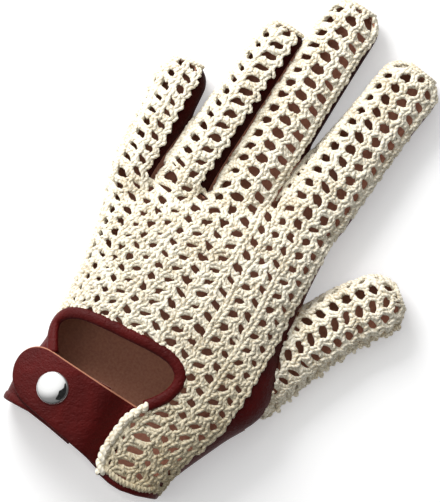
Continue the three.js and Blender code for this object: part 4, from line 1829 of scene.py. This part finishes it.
    def _side(self, yarn: Yarn, size: FingerSize, curves: list[Array], seam: Array) -> None:
        """Works a finger's little-finger side, down to its seam.

        Args:
            yarn: Where the strands go.
            size: The finger.
            curves: Its ribs' lines.
            seam: Its side seam's line.
        """
        tip = size.y + size.length
        ground = Ground(yarn, Sheet(self.form, [seam, curves[0]], RibLines.START), self.clear_of_back)
        column = replace(COLUMNS[size.first_rib], slant=(0.8, 0.8), hole=(2.0, 1.8))
        self.column(ground, 0, column, size.y - 1.0, tip - 4.0)
        self.rib(ground, 0, size.y, tip - 3.0, self.side_rib, True)

    def _bridge(self, yarn: Yarn, k: int, before: Array, after: Array) -> None:
        """Works the column on the hand between one finger's ribs and the next one's.

        Args:
            yarn: Where the strands go.
            k: The number of the finger on the thumb side.
            before: The last rib's line of the finger before it.
            after: The first rib's line of the finger itself.
        """
        count = min(len(before), len(after))
        sheet = Sheet(self.form, [before[:count], after[:count]], RibLines.START)
        crotch = (FINGERS[k - 1].y + FINGERS[k].y) / 2
        ground = Ground(yarn, sheet, self.clear_of_back)
        self.column(ground, 0, COLUMNS[FINGERS[k].first_rib - 1], self.first_post_row, crotch)

    def _finger(self, k: int, traced: list[tuple[list[Array], Array]]) -> bpy.types.Object:
        """Works one finger with its share of the hand's back.

        Args:
            k: The finger's number.
            traced: The ribs' lines and the side seam of every finger.

        Returns:
            The dressed piece.
        """
        size = FINGERS[k]
        curves, seam = traced[k]
        tip = size.y + size.length
        yarn = Yarn(f"crochet_{size.name}", self.look)
        ground = Ground(yarn, Sheet(self.form, curves, RibLines.START), self.clear_of_back)
        for rib in range(len(curves)):
            number = size.first_rib + rib
            up = COLUMNS[min(number, len(COLUMNS) - 1)].slant[0] > 0
            before = COLUMNS[number - 1] if number else None
            after = COLUMNS[number] if number < len(COLUMNS) else None
            self.rib(ground, rib, self.first_rib_row, size.y, self.hand_rib, up, (before, after))
            self.rib(ground, rib, size.y, tip - 1.2, self.finger_rib, up, (before, after))
        for rib in range(len(curves) - 1):
            self.column(ground, rib, COLUMNS[size.first_rib + rib], self.first_post_row, tip - 3.0)
        if k:
            self._side(yarn, size, curves, seam)
            self._bridge(yarn, k, traced[k - 1][0][-1], curves[0])
        self.tip_row(yarn, self.form.fingers[size.name])
        if k == len(FINGERS) - 1:
            self.last_row(yarn)
        return dress(yarn.build(self.finish.crochet), "crochet_back")

    def _thumb(self) -> bpy.types.Object:
        """Works the thumb's back, with its ragged edge.

        Returns:
            The dressed piece.
        """
        yarn = Yarn("crochet_of_thumb", self.look)
        ground = Ground(yarn, self.thumb_sheet(), self.clear_of_palm)
        end = ground.sheet.end - 1.0
        slants = (-self.thumb_slant, self.thumb_slant)
        kinds = [
            Column(2.0 + 2.8 * (rib % 2), (self.thumb_pitch,) * 2, hole, (slants[rib % 2],) * 2)
            for rib, hole in enumerate(THUMB_HOLES)
        ]
        for rib in range(self.thumb_ribs + 1):
            sides = (kinds[rib - 1] if rib else None, kinds[rib] if rib < self.thumb_ribs else None)
            self.rib(ground, rib, self.thumb_start, end, self.thumb_rib, rib % 2 == 1, sides)
        for rib, kind in enumerate(kinds):
            self.column(ground, rib, kind, self.thumb_start, end - 1.5)
        self.tip_row(yarn, self.form.thumb)
        self.fringe(yarn, self.form.thumb)
        # The thumb takes the lighter copy of the yarn, painted light.
        return dress(yarn.build(self.finish.plain), "thumb_crochet")

    def build(self) -> list[bpy.types.Object]:
        """Works the crochet of the back, the fingers and the thumb.

        Returns:
            The dressed pieces.
        """
        traced = [self.ribs.finger(size) for size in FINGERS]
        made = [self._finger(k, traced) for k in range(len(FINGERS))]
        made.append(self._thumb())
        return made


@dataclass
class Leatherwork:
    """The leather that is cut out of the hand's skin: the palm, the side strips and the thumb's front."""

    form: HandForm
    lines: Outlines
    finish: Materials
    thick: float = 1.2
    hole_floor: float = 15.0

    def _shell(self, name: str, surface: Surface, node: str, face: bpy.types.Material) -> bpy.types.Object:
        """Gives a cut piece its thickness, its suede inside and its raw edge, and dresses it.

        Args:
            name: The piece's name.
            surface: Its outer surface.
            node: The node it replaces.
            face: The material of its outside.

        Returns:
            The dressed piece.
        """
        thing = mesh_object(name, surface.points, surface.faces, face)
        thing.data.materials.append(self.finish.suede)
        wall = thing.modifiers.new("wall", "SOLIDIFY")
        wall.thickness = self.thick * MM
        wall.offset = -1
        wall.material_offset = 1
        wall.material_offset_rim = 1
        return dress(thing, node)

    def _open(self, points: Array) -> Array:
        """Gives a value that is positive outside the keyhole and the slit."""
        gap = polygon_distance(points[:, :2], self.lines.hole)
        return np.maximum(gap, self.hole_floor - points[:, 2])

    def _leather(self, points: Array) -> Array:
        """Gives a value that is positive where the back and palm are leather, not crochet."""
        tab = -polygon_distance(points[:, :2], self.lines.tab)
        return np.maximum(-self.lines.crochet(points), tab)

    def _between(self, near: FingerSize, far: FingerSize, points: Array) -> Array:
        """Gives a value that is positive between the middle lines of two fingers.

        Args:
            near: The finger on the little-finger side.
            far: The finger on the thumb side.
            points: The points.

        Returns:
            The value at each point.
        """
        _, past_near, _ = self.form.finger_place(near, points)
        _, past_far, _ = self.form.finger_place(far, points)
        return np.minimum(past_near, -past_far)

    def build(self) -> list[bpy.types.Object]:
        """Cuts out the palm, the side strips and the thumb's front.

        Returns:
            The dressed pieces.
        """
        lines = self.lines
        skin = self.form.skin.cut(lines.above_wrist)
        hand = skin.cut(lambda p: -lines.thumb(p)).cut(self._open).cut(self._leather)
        palm = hand.cut(lambda p: -lines.strips(p)).largest()
        made = [self._shell("palm", palm, "palm_leather", self.finish.leather)]
        sides = hand.cut(lines.strips)
        for near, far in zip(FINGERS, FINGERS[1:]):
            strip = sides.cut(lambda p, near=near, far=far: self._between(near, far, p))
            pair = f"{near.name}_{far.name}"
            # The strips take the darker copy of the leather, painted shade.
            made.append(self._shell(f"strip_{pair}", strip, f"side_strip_{pair}", self.finish.strips))
        front = skin.cut(lines.thumb).cut(lines.thumb_front)
        made.append(self._shell("thumb_front", front, "thumb_leather", self.finish.leather))
        return made


def sweep(path: Array, out: Array, profile: Array) -> tuple[Array, Array]:
    """Sweeps a profile along a path.

    Args:
        path: The path's points.
        out: The direction that the profile's second number points in, at each point of the path.
        profile: The profile's points, across and out.

    Returns:
        Points, and four-sided faces; each end is drawn in to a narrow ring.
    """
    ahead = np.gradient(path, axis=0)
    ahead /= np.linalg.norm(ahead, axis=1, keepdims=True)
    side = np.cross(ahead, out)
    side /= np.linalg.norm(side, axis=1, keepdims=True)
    up = np.cross(side, ahead)
    path, side, up = (np.vstack([rows[:1], rows, rows[-1:]]) for rows in (path, side, up))
    scale = np.ones(len(path))
    scale[[0, -1]] = 0.02
    points = path[:, None] + scale[:, None, None] * (
        side[:, None] * profile[None, :, :1] + up[:, None] * profile[None, :, 1:]
    )
    return points.reshape(-1, 3), tube_faces(*points.shape[:2])


def oval(width: float, thick: float, sides: int, power: float) -> Array:
    """Draws a squared oval profile.

    Args:
        width: Its width.
        thick: Its thickness.
        sides: How many points it has.
        power: How square it is; 2 is a true oval.

    Returns:
        Its points.
    """
    angle = np.linspace(0, 2 * math.pi, sides, endpoint=False)
    c = np.sign(np.cos(angle)) * np.abs(np.cos(angle)) ** (2 / power)
    s = np.sign(np.sin(angle)) * np.abs(np.sin(angle)) ** (2 / power)
    return np.stack([c * width / 2, s * thick / 2], axis=1)


@dataclass
class Trim:
    """A piece that is laid on the hand."""

    form: HandForm
    lines: Outlines
    finish: Materials

    def on_back(self, plan: Array, lift: float) -> tuple[Array, Array]:
        """Lays a line in plan on the back of the hand.

        Args:
            plan: The line's points in plan.
            lift: How far above the skin it lies.

        Returns:
            Its points, and the outward direction at each.
        """
        flat = np.array([(x, y, self.form.top(x, y)) for x, y in plan])
        near, out = self.form.snap(flat)
        for _ in range(4):
            out[1:-1] = (out[:-2] + out[1:-1] + out[2:]) / 3
            near[1:-1] = (near[:-2] + 2 * near[1:-1] + near[2:]) / 4
        out /= np.linalg.norm(out, axis=1, keepdims=True)
        return near + out * lift, out


@dataclass
class Binding(Trim):
    """The rolled binding round the keyhole."""

    width: float = 4.8
    thick: float = 3.5
    square: float = 2.2
    lift: float = 0.2

    def build(self) -> list[bpy.types.Object]:
        """Lays the roll.

        Returns:
            The dressed piece.
        """
        path, out = self.on_back(self.lines.binding, self.lift)
        points, faces = sweep(path, out, oval(self.width, self.thick, 18, self.square))
        thing = mesh_object("binding", points, faces, self.finish.leather)
        return [dress(thing, "keyhole_binding")]


@dataclass
class Hem(Trim):
    """The turned hem round the wrist's mouth, open at the slit."""

    width: float = 3.6
    thick: float = 2.2
    square: float = 2.6
    inset: float = 0.55
    least_height: float = 1.15
    past_edge: float = 0.9
    middle: Triple = (-14.8, -77.1, 12.0)

    def _edge(self) -> Array:
        """Traces the wrist's edge round the hand, from one side of the slit to the other.

        Returns:
            The edge's points.
        """
        body = self.form.body
        angle = np.linspace(0, 2 * math.pi, 181)[:-1]
        t = np.full(len(angle), -76.0)
        for _ in range(12):
            section = body.at(t)
            ring = body.place(section, *body.outline(section, angle))
            t = t + (self.lines.wrist_at(ring[:, 0]) + self.past_edge - ring[:, 1]) * 0.8
        gap = polygon_distance(ring[:, :2], self.lines.hole)
        is_open = (gap < 0.4) & (ring[:, 2] > 15)
        first = int(np.argmax(np.roll(is_open, 1) & ~is_open))
        order = np.roll(np.arange(len(ring)), -first)
        return ring[order[~is_open[order]]]

    def build(self) -> list[bpy.types.Object]:
        """Lays the hem.

        Returns:
            The dressed piece.
        """
        path = self._edge()
        out = path - np.array(self.middle)
        out[:, 1] = 0
        out /= np.linalg.norm(out, axis=1, keepdims=True)
        out[path[:, 2] < 2] = (0, 0, -1)
        for _ in range(3):
            out[1:-1] = (out[:-2] + out[1:-1] + out[2:]) / 3
        out /= np.linalg.norm(out, axis=1, keepdims=True)
        path = path - out * self.inset
        path[:, 2] = np.maximum(path[:, 2], self.least_height)
        points, faces = sweep(path, out, oval(self.width, self.thick, 14, self.square))
        thing = mesh_object("hem", points, faces, self.finish.leather)
        return [dress(thing, "wrist_hem")]


@dataclass
class Strap(Trim):
    """The strap over the slit, with its rounded end; it dips under the crochet flap."""

    tip: tuple[float, float] = (-53.4, -55.3)
    half: float = 11.0
    widens: float = 0.07
    slopes: float = -0.165
    thick: float = 1.8
    lift: float = 0.9
    dip: float = 5.2
    dip_run: float = 9.0
    roundness: float = 2.2
    bevel: float = 0.42
    shoulder: float = 0.86
    last_y: float = -79.0

    def under(self, x: Array, y: Array) -> Array:
        """Works out the height of the strap's underside.

        Args:
            x: Places across the hand.
            y: Places along it.

        Returns:
            The height at each place.
        """
        out = np.empty(x.size)
        for k, (px, py) in enumerate(zip(x.ravel(), y.ravel())):
            py = max(py, self.last_y)
            section = {key: float(v) for key, v in self.form.body.at(np.array(py)).items()}
            shoulder = section["x"] - section["half"] * self.shoulder
            if px < shoulder:
                high = self.form.top(shoulder, py)
                slope = self.form.top(shoulder + 1.5, py) - high
                out[k] = high + slope / 1.5 * (px - shoulder) + self.lift
            else:
                t = min(max((px - TAB_EDGE_X) / self.dip_run, 0), 1)
                out[k] = self.form.top(px, py) + self.lift - t * t * (3 - 2 * t) * self.dip
        return out.reshape(x.shape)

    def build(self) -> list[bpy.types.Object]:
        """Makes the strap.

        Returns:
            The dressed piece.
        """
        share = np.concatenate([1 - np.cos(np.linspace(0.06, 1.2, 12)), np.linspace(0.68, 4.75, 44)])
        x = self.tip[0] + share * self.half
        run = x - self.tip[0]
        middle, half = self.tip[1] + self.slopes * run, self.half + self.widens * run
        round_off = np.clip(run / half, 0, 1)
        reach = half * np.sqrt(np.maximum(1 - (1 - round_off) ** self.roundness, 0.0))
        across = np.array([-1, -0.985, -0.95, -0.8, -0.5, 0, 0.5, 0.8, 0.93, 0.962, 1])
        edge = np.array([0.28, 0.1, 0, 0, 0, 0, 0, 0, 0, 0.04, self.bevel])
        gx = np.repeat(x[:, None], len(across), axis=1)
        gy = middle[:, None] + across[None] * reach[:, None]
        under = self.under(gx, gy)
        for _ in range(14):
            under[1:-1] = (under[:-2] + 2 * under[1:-1] + under[2:]) / 4
        end = np.exp(-np.linspace(0, len(x), len(x)) / 1.3)[:, None]
        inset = np.maximum(edge[None], self.bevel * end) * self.thick
        top = np.stack([gx, gy, under + self.thick - inset], axis=-1)
        low = np.stack([gx, gy, under + inset], axis=-1)
        ring = np.concatenate([top, low[:, ::-1]], axis=1)
        return [self._cover(ring, len(across))]

    def _cover(self, ring: Array, wide: int) -> bpy.types.Object:
        """Covers the strap's sections with faces, its cut edges in their own finish.

        Args:
            ring: The points round each section, first over the top and then back below.
            wide: How many points lie across the top.

        Returns:
            The dressed piece.
        """
        count, sides = ring.shape[:2]
        faces = tube_faces(count, sides)[:, [1, 0, 3, 2]]
        caps = []
        for row, flip in ((0, False), (count - 1, True)):
            start = row * sides
            for j in range(wide - 1):
                quad = [start + j, start + j + 1, start + sides - 2 - j, start + sides - 1 - j]
                caps.append(quad[::-1] if flip else quad)
        thing = mesh_object("strap", ring.reshape(-1, 3), np.vstack([faces, caps]), self.finish.leather)
        thing.data.materials.append(self.finish.edge)
        i = np.arange(sides)
        rims = (i == wide - 1) | (i == sides - 1) | (i == wide - 2)
        index = np.concatenate([np.tile(rims, count - 1), np.ones(len(caps), bool)]).astype(np.int32)
        thing.data.polygons.foreach_set("material_index", index)
        return dress(thing, "wrist_strap")


@dataclass
class Snap(Trim):
    """The snap: its domed cap with the stem, and the stud ring inside."""

    strap: Strap
    place: tuple[float, float] = (-35.3, -58.3)
    dome: float = 14.0
    dome_sunk: float = 12.05
    dome_angle: float = 0.46
    rim: Profile = (
        (6.36, 0.32), (6.5, 0.08), (6.6, 0.0), (6.62, -0.12),
        (6.3, -0.15), (2.3, -0.15), (2.3, -6.2), (0.0, -6.2),
    )
    stud: Profile = ((2.9, -6.3), (4.4, -6.3), (4.5, -5.9), (4.4, -5.5), (2.9, -5.5))
    sides: int = 48

    def build(self) -> list[bpy.types.Object]:
        """Turns the cap and the stud, and sets them in the strap.

        Returns:
            The dressed pieces.
        """
        x, y = self.place
        z = self.strap.under(np.array([[x, x + 1, x]]), np.array([[y, y, y + 1]]))[0]
        axis = Vector((-(z[1] - z[0]), -(z[2] - z[0]), 1)).normalized()
        base = np.array([x, y, z[0] + self.strap.thick])
        angles = np.linspace(0, self.dome_angle, 12)
        dome = [(self.dome * math.sin(a), self.dome * math.cos(a) - self.dome_sunk) for a in angles]
        cap = self._turned("cap", (*dome, *self.rim), base, axis, False)
        stud = self._turned("stud", self.stud, base, axis, True)
        return [dress(cap, "snap_cap"), dress(stud, "snap_stud")]

    def _turned(
        self, name: str, profile: Profile, base: Array, axis: Vector, ring: bool
    ) -> bpy.types.Object:
        """Turns a profile about an axis.

        Args:
            name: The piece's name.
            profile: Each point's radius and height.
            base: Where the profile's zero lies.
            axis: The way its heights point.
            ring: Whether the profile joins up with itself.

        Returns:
            The new object.
        """
        angle = np.linspace(0, 2 * math.pi, self.sides, endpoint=False)
        radius, height = np.array(profile).T[:, :, None]
        local = np.stack(
            [radius * np.cos(angle), radius * np.sin(angle), np.repeat(height, self.sides, axis=1)], axis=-1
        )
        turn = np.array(Vector((0, 0, 1)).rotation_difference(axis).to_matrix())
        points = local @ turn.T + base
        faces = tube_faces(len(profile), self.sides, ring)[:, [0, 3, 2, 1]]
        return mesh_object(name, points.reshape(-1, 3), faces, self.finish.metal)


@dataclass
class Edging(Trim):
    """The flap's thick chain edge, from the keyhole to the wrist."""

    strand: float = 1.08
    sides: int = 9
    lift: float = 0.5
    turn: float = 6.2
    wide: float = 0.92
    high: float = 0.8

    def build(self) -> list[bpy.types.Object]:
        """Winds two thick strands round each other along the edge.

        Returns:
            The dressed piece.
        """
        plan = smooth_rows(np.vstack([self.lines.binding[-3:-2], self.lines.flap[::6]]), 12)
        path, out = self.on_back(plan, self.lift)
        run = np.concatenate([[0], np.cumsum(np.linalg.norm(np.diff(path, axis=0), axis=1))])
        ahead = np.gradient(path, axis=0)
        ahead /= np.linalg.norm(ahead, axis=1, keepdims=True)
        at = np.linspace(0, run[-1], 130)
        centre, across, normal = (
            np.stack([np.interp(at, run, rows[:, k]) for k in range(3)], axis=-1)
            for rows in (path, np.cross(ahead, out), out)
        )
        yarn = Yarn("edging", YarnLook(sides=self.sides))
        for strand in range(2):
            turn = 2 * math.pi * (at / self.turn + strand / 2) + 0.5 * np.sin(at * 0.7)
            swell = 1 + 0.1 * np.sin(at * 1.3 + strand * 2)
            b = np.cos(turn) * self.wide * swell
            h = np.sin(turn) * self.high + 0.2
            points = centre + across * b[:, None] + normal * h[:, None]
            yarn.add(points[None], normal[None], (self.strand * swell)[None])
        # The edging takes the lighter copy of the yarn, painted light.
        return [dress(yarn.build(self.finish.plain), "flap_edging")]


@dataclass
class Stage:
    """Floor, light and camera.

    The card's rows are degrees round the snap, and the inner and outer edge's degrees from straight above
    it. The tent's levels are its brightness by place from dark side to bright side.
    """

    finish: Materials
    floor_half: float = 3000.0
    up: Triple = (-0.4695, 0.8829, 0.0)
    centre: Triple = (-2.1, 21.1, 10.0)
    field: float = 200.8
    distance: float = 3.0
    sensor: float = 24.0
    snap: Triple = (-35.0, -58.0, 20.0)
    card_away: float = 900.0
    card_rows: tuple[Triple, ...] = (
        (35, 30, 38), (12, 23, 39), (-10, 14, 40), (-32, 9, 41), (-54, 10, 40), (-76, 17, 38), (-98, 30, 35),
    )
    tent_bright_side: Triple = (-0.622, 0.301, 0.723)
    tent_levels: tuple[tuple[float, float], ...] = ((0.0, 0.06), (0.75, 0.84), (0.45, 0.24), (1.0, 1.0))
    tent_power: float = 1.18
    key_place: Triple = (-0.32, 0.26, 0.32)
    key_aim: Triple = (0.0, 0.02, 0.0)
    key_size: float = 0.26
    key_power: float = 2.6

    def build(self) -> None:
        """Lays the floor and puts up the card, the lights and the camera."""
        size = self.floor_half
        corners = np.array([(-size, -size, 0), (size, -size, 0), (size, size, 0), (-size, size, 0)], float)
        floor = mesh_object("floor", corners, np.array([[0, 1, 2, 3]]), self.finish.floor, smooth=False)
        self._card()
        self._key()
        self._tent()
        bpy.context.scene.view_settings.view_transform = "Standard"
        self._camera()

    def _card(self) -> None:
        """Stands a dark card beyond the thumb side, where it shows as the snap's dark reflection."""
        right = np.array([0.883, 0.469, 0.0])
        ahead = np.array([-0.469, 0.883, 0.0])
        upright = np.array([0.0, 0.0, 1.0])
        corners = []
        for turn, inner, outer in self.card_rows:
            a = math.radians(turn)
            side = right * math.cos(a) + ahead * math.sin(a)
            for lean in (math.radians(inner), math.radians(outer)):
                away = side * math.sin(lean) + upright * math.cos(lean)
                corners.append(np.array(self.snap) + self.card_away * away)
        faces = np.array([(2 * k, 2 * k + 1, 2 * k + 3, 2 * k + 2) for k in range(len(self.card_rows) - 1)])
        card = mesh_object("card", np.array(corners), faces, self.finish.card, smooth=False)

    def _tent(self) -> None:
        """Puts a studio tent round the glove, bright above and on the little-finger side."""
        world = bpy.data.worlds.new("studio")
        world.use_nodes = True
        nodes, links = world.node_tree.nodes, world.node_tree.links
        place = nodes.new("ShaderNodeTexCoord")
        dot = nodes.new("ShaderNodeVectorMath")
        dot.operation = "DOT_PRODUCT"
        dot.inputs[1].default_value = self.tent_bright_side
        links.new(place.outputs["Generated"], dot.inputs[0])
        ramp = nodes.new("ShaderNodeValToRGB")
        stops = ramp.color_ramp.elements
        for k, (where, level) in enumerate(self.tent_levels):
            stop = stops[k] if k < 2 else stops.new(where)
            stop.position = where
            stop.color = (level, level, level, 1)
        links.new(dot.outputs["Value"], ramp.inputs[0])
        links.new(ramp.outputs[0], nodes["Background"].inputs[0])
        nodes["Background"].inputs[1].default_value = self.tent_power
        bpy.context.scene.world = world

    def _key(self) -> None:
        """Puts up the lamp that faces the glove."""
        lamp = bpy.data.lights.new("key", "AREA")
        lamp.shape = "RECTANGLE"
        lamp.size = lamp.size_y = self.key_size
        lamp.energy = self.key_power
        thing = bpy.data.objects.new("key", lamp)
        thing.location = self.key_place
        ahead = Vector(self.key_aim) - Vector(self.key_place)
        thing.rotation_euler = ahead.to_track_quat("-Z", "Y").to_euler()
        bpy.context.scene.collection.objects.link(thing)

    def _camera(self) -> None:
        """Sets the camera straight above the glove, turned as in the photograph."""
        camera = bpy.data.cameras.new("camera")
        camera.sensor_fit = "VERTICAL"
        camera.sensor_height = self.sensor
        camera.lens = self.sensor / (self.field * MM) * self.distance
        camera.clip_end = 20
        thing = bpy.data.objects.new("camera", camera)
        away = Vector((0, 0, 1))
        up = Vector(self.up).normalized()
        turn = np.array([up.cross(away), up, away]).T
        place = Vector(self.centre) * MM + away * self.distance
        thing.matrix_world = Matrix.Translation(place) @ Matrix(turn.tolist()).to_4x4()
        bpy.context.scene.collection.objects.link(thing)
        bpy.context.scene.camera = thing


def main() -> None:
    """Builds the glove's looks and the scene round it."""
    logging.basicConfig(level=logging.INFO, format="%(message)s")
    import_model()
    form = HandForm()
    lines = Outlines(form)
    finish = Materials()
    strap = Strap(form, lines, finish)
    parts = (
        Leatherwork(form, lines, finish),
        Binding(form, lines, finish),
        Hem(form, lines, finish),
        strap,
        Snap(form, lines, finish, strap),
        Edging(form, lines, finish),
        Crochet(form, lines, finish),
    )
    for part in parts:
        for piece in part.build():
            LOG.info("%s: %d faces", piece.name, len(piece.data.polygons))
    Stage(finish).build()


if __name__ == "__main__":
    main()
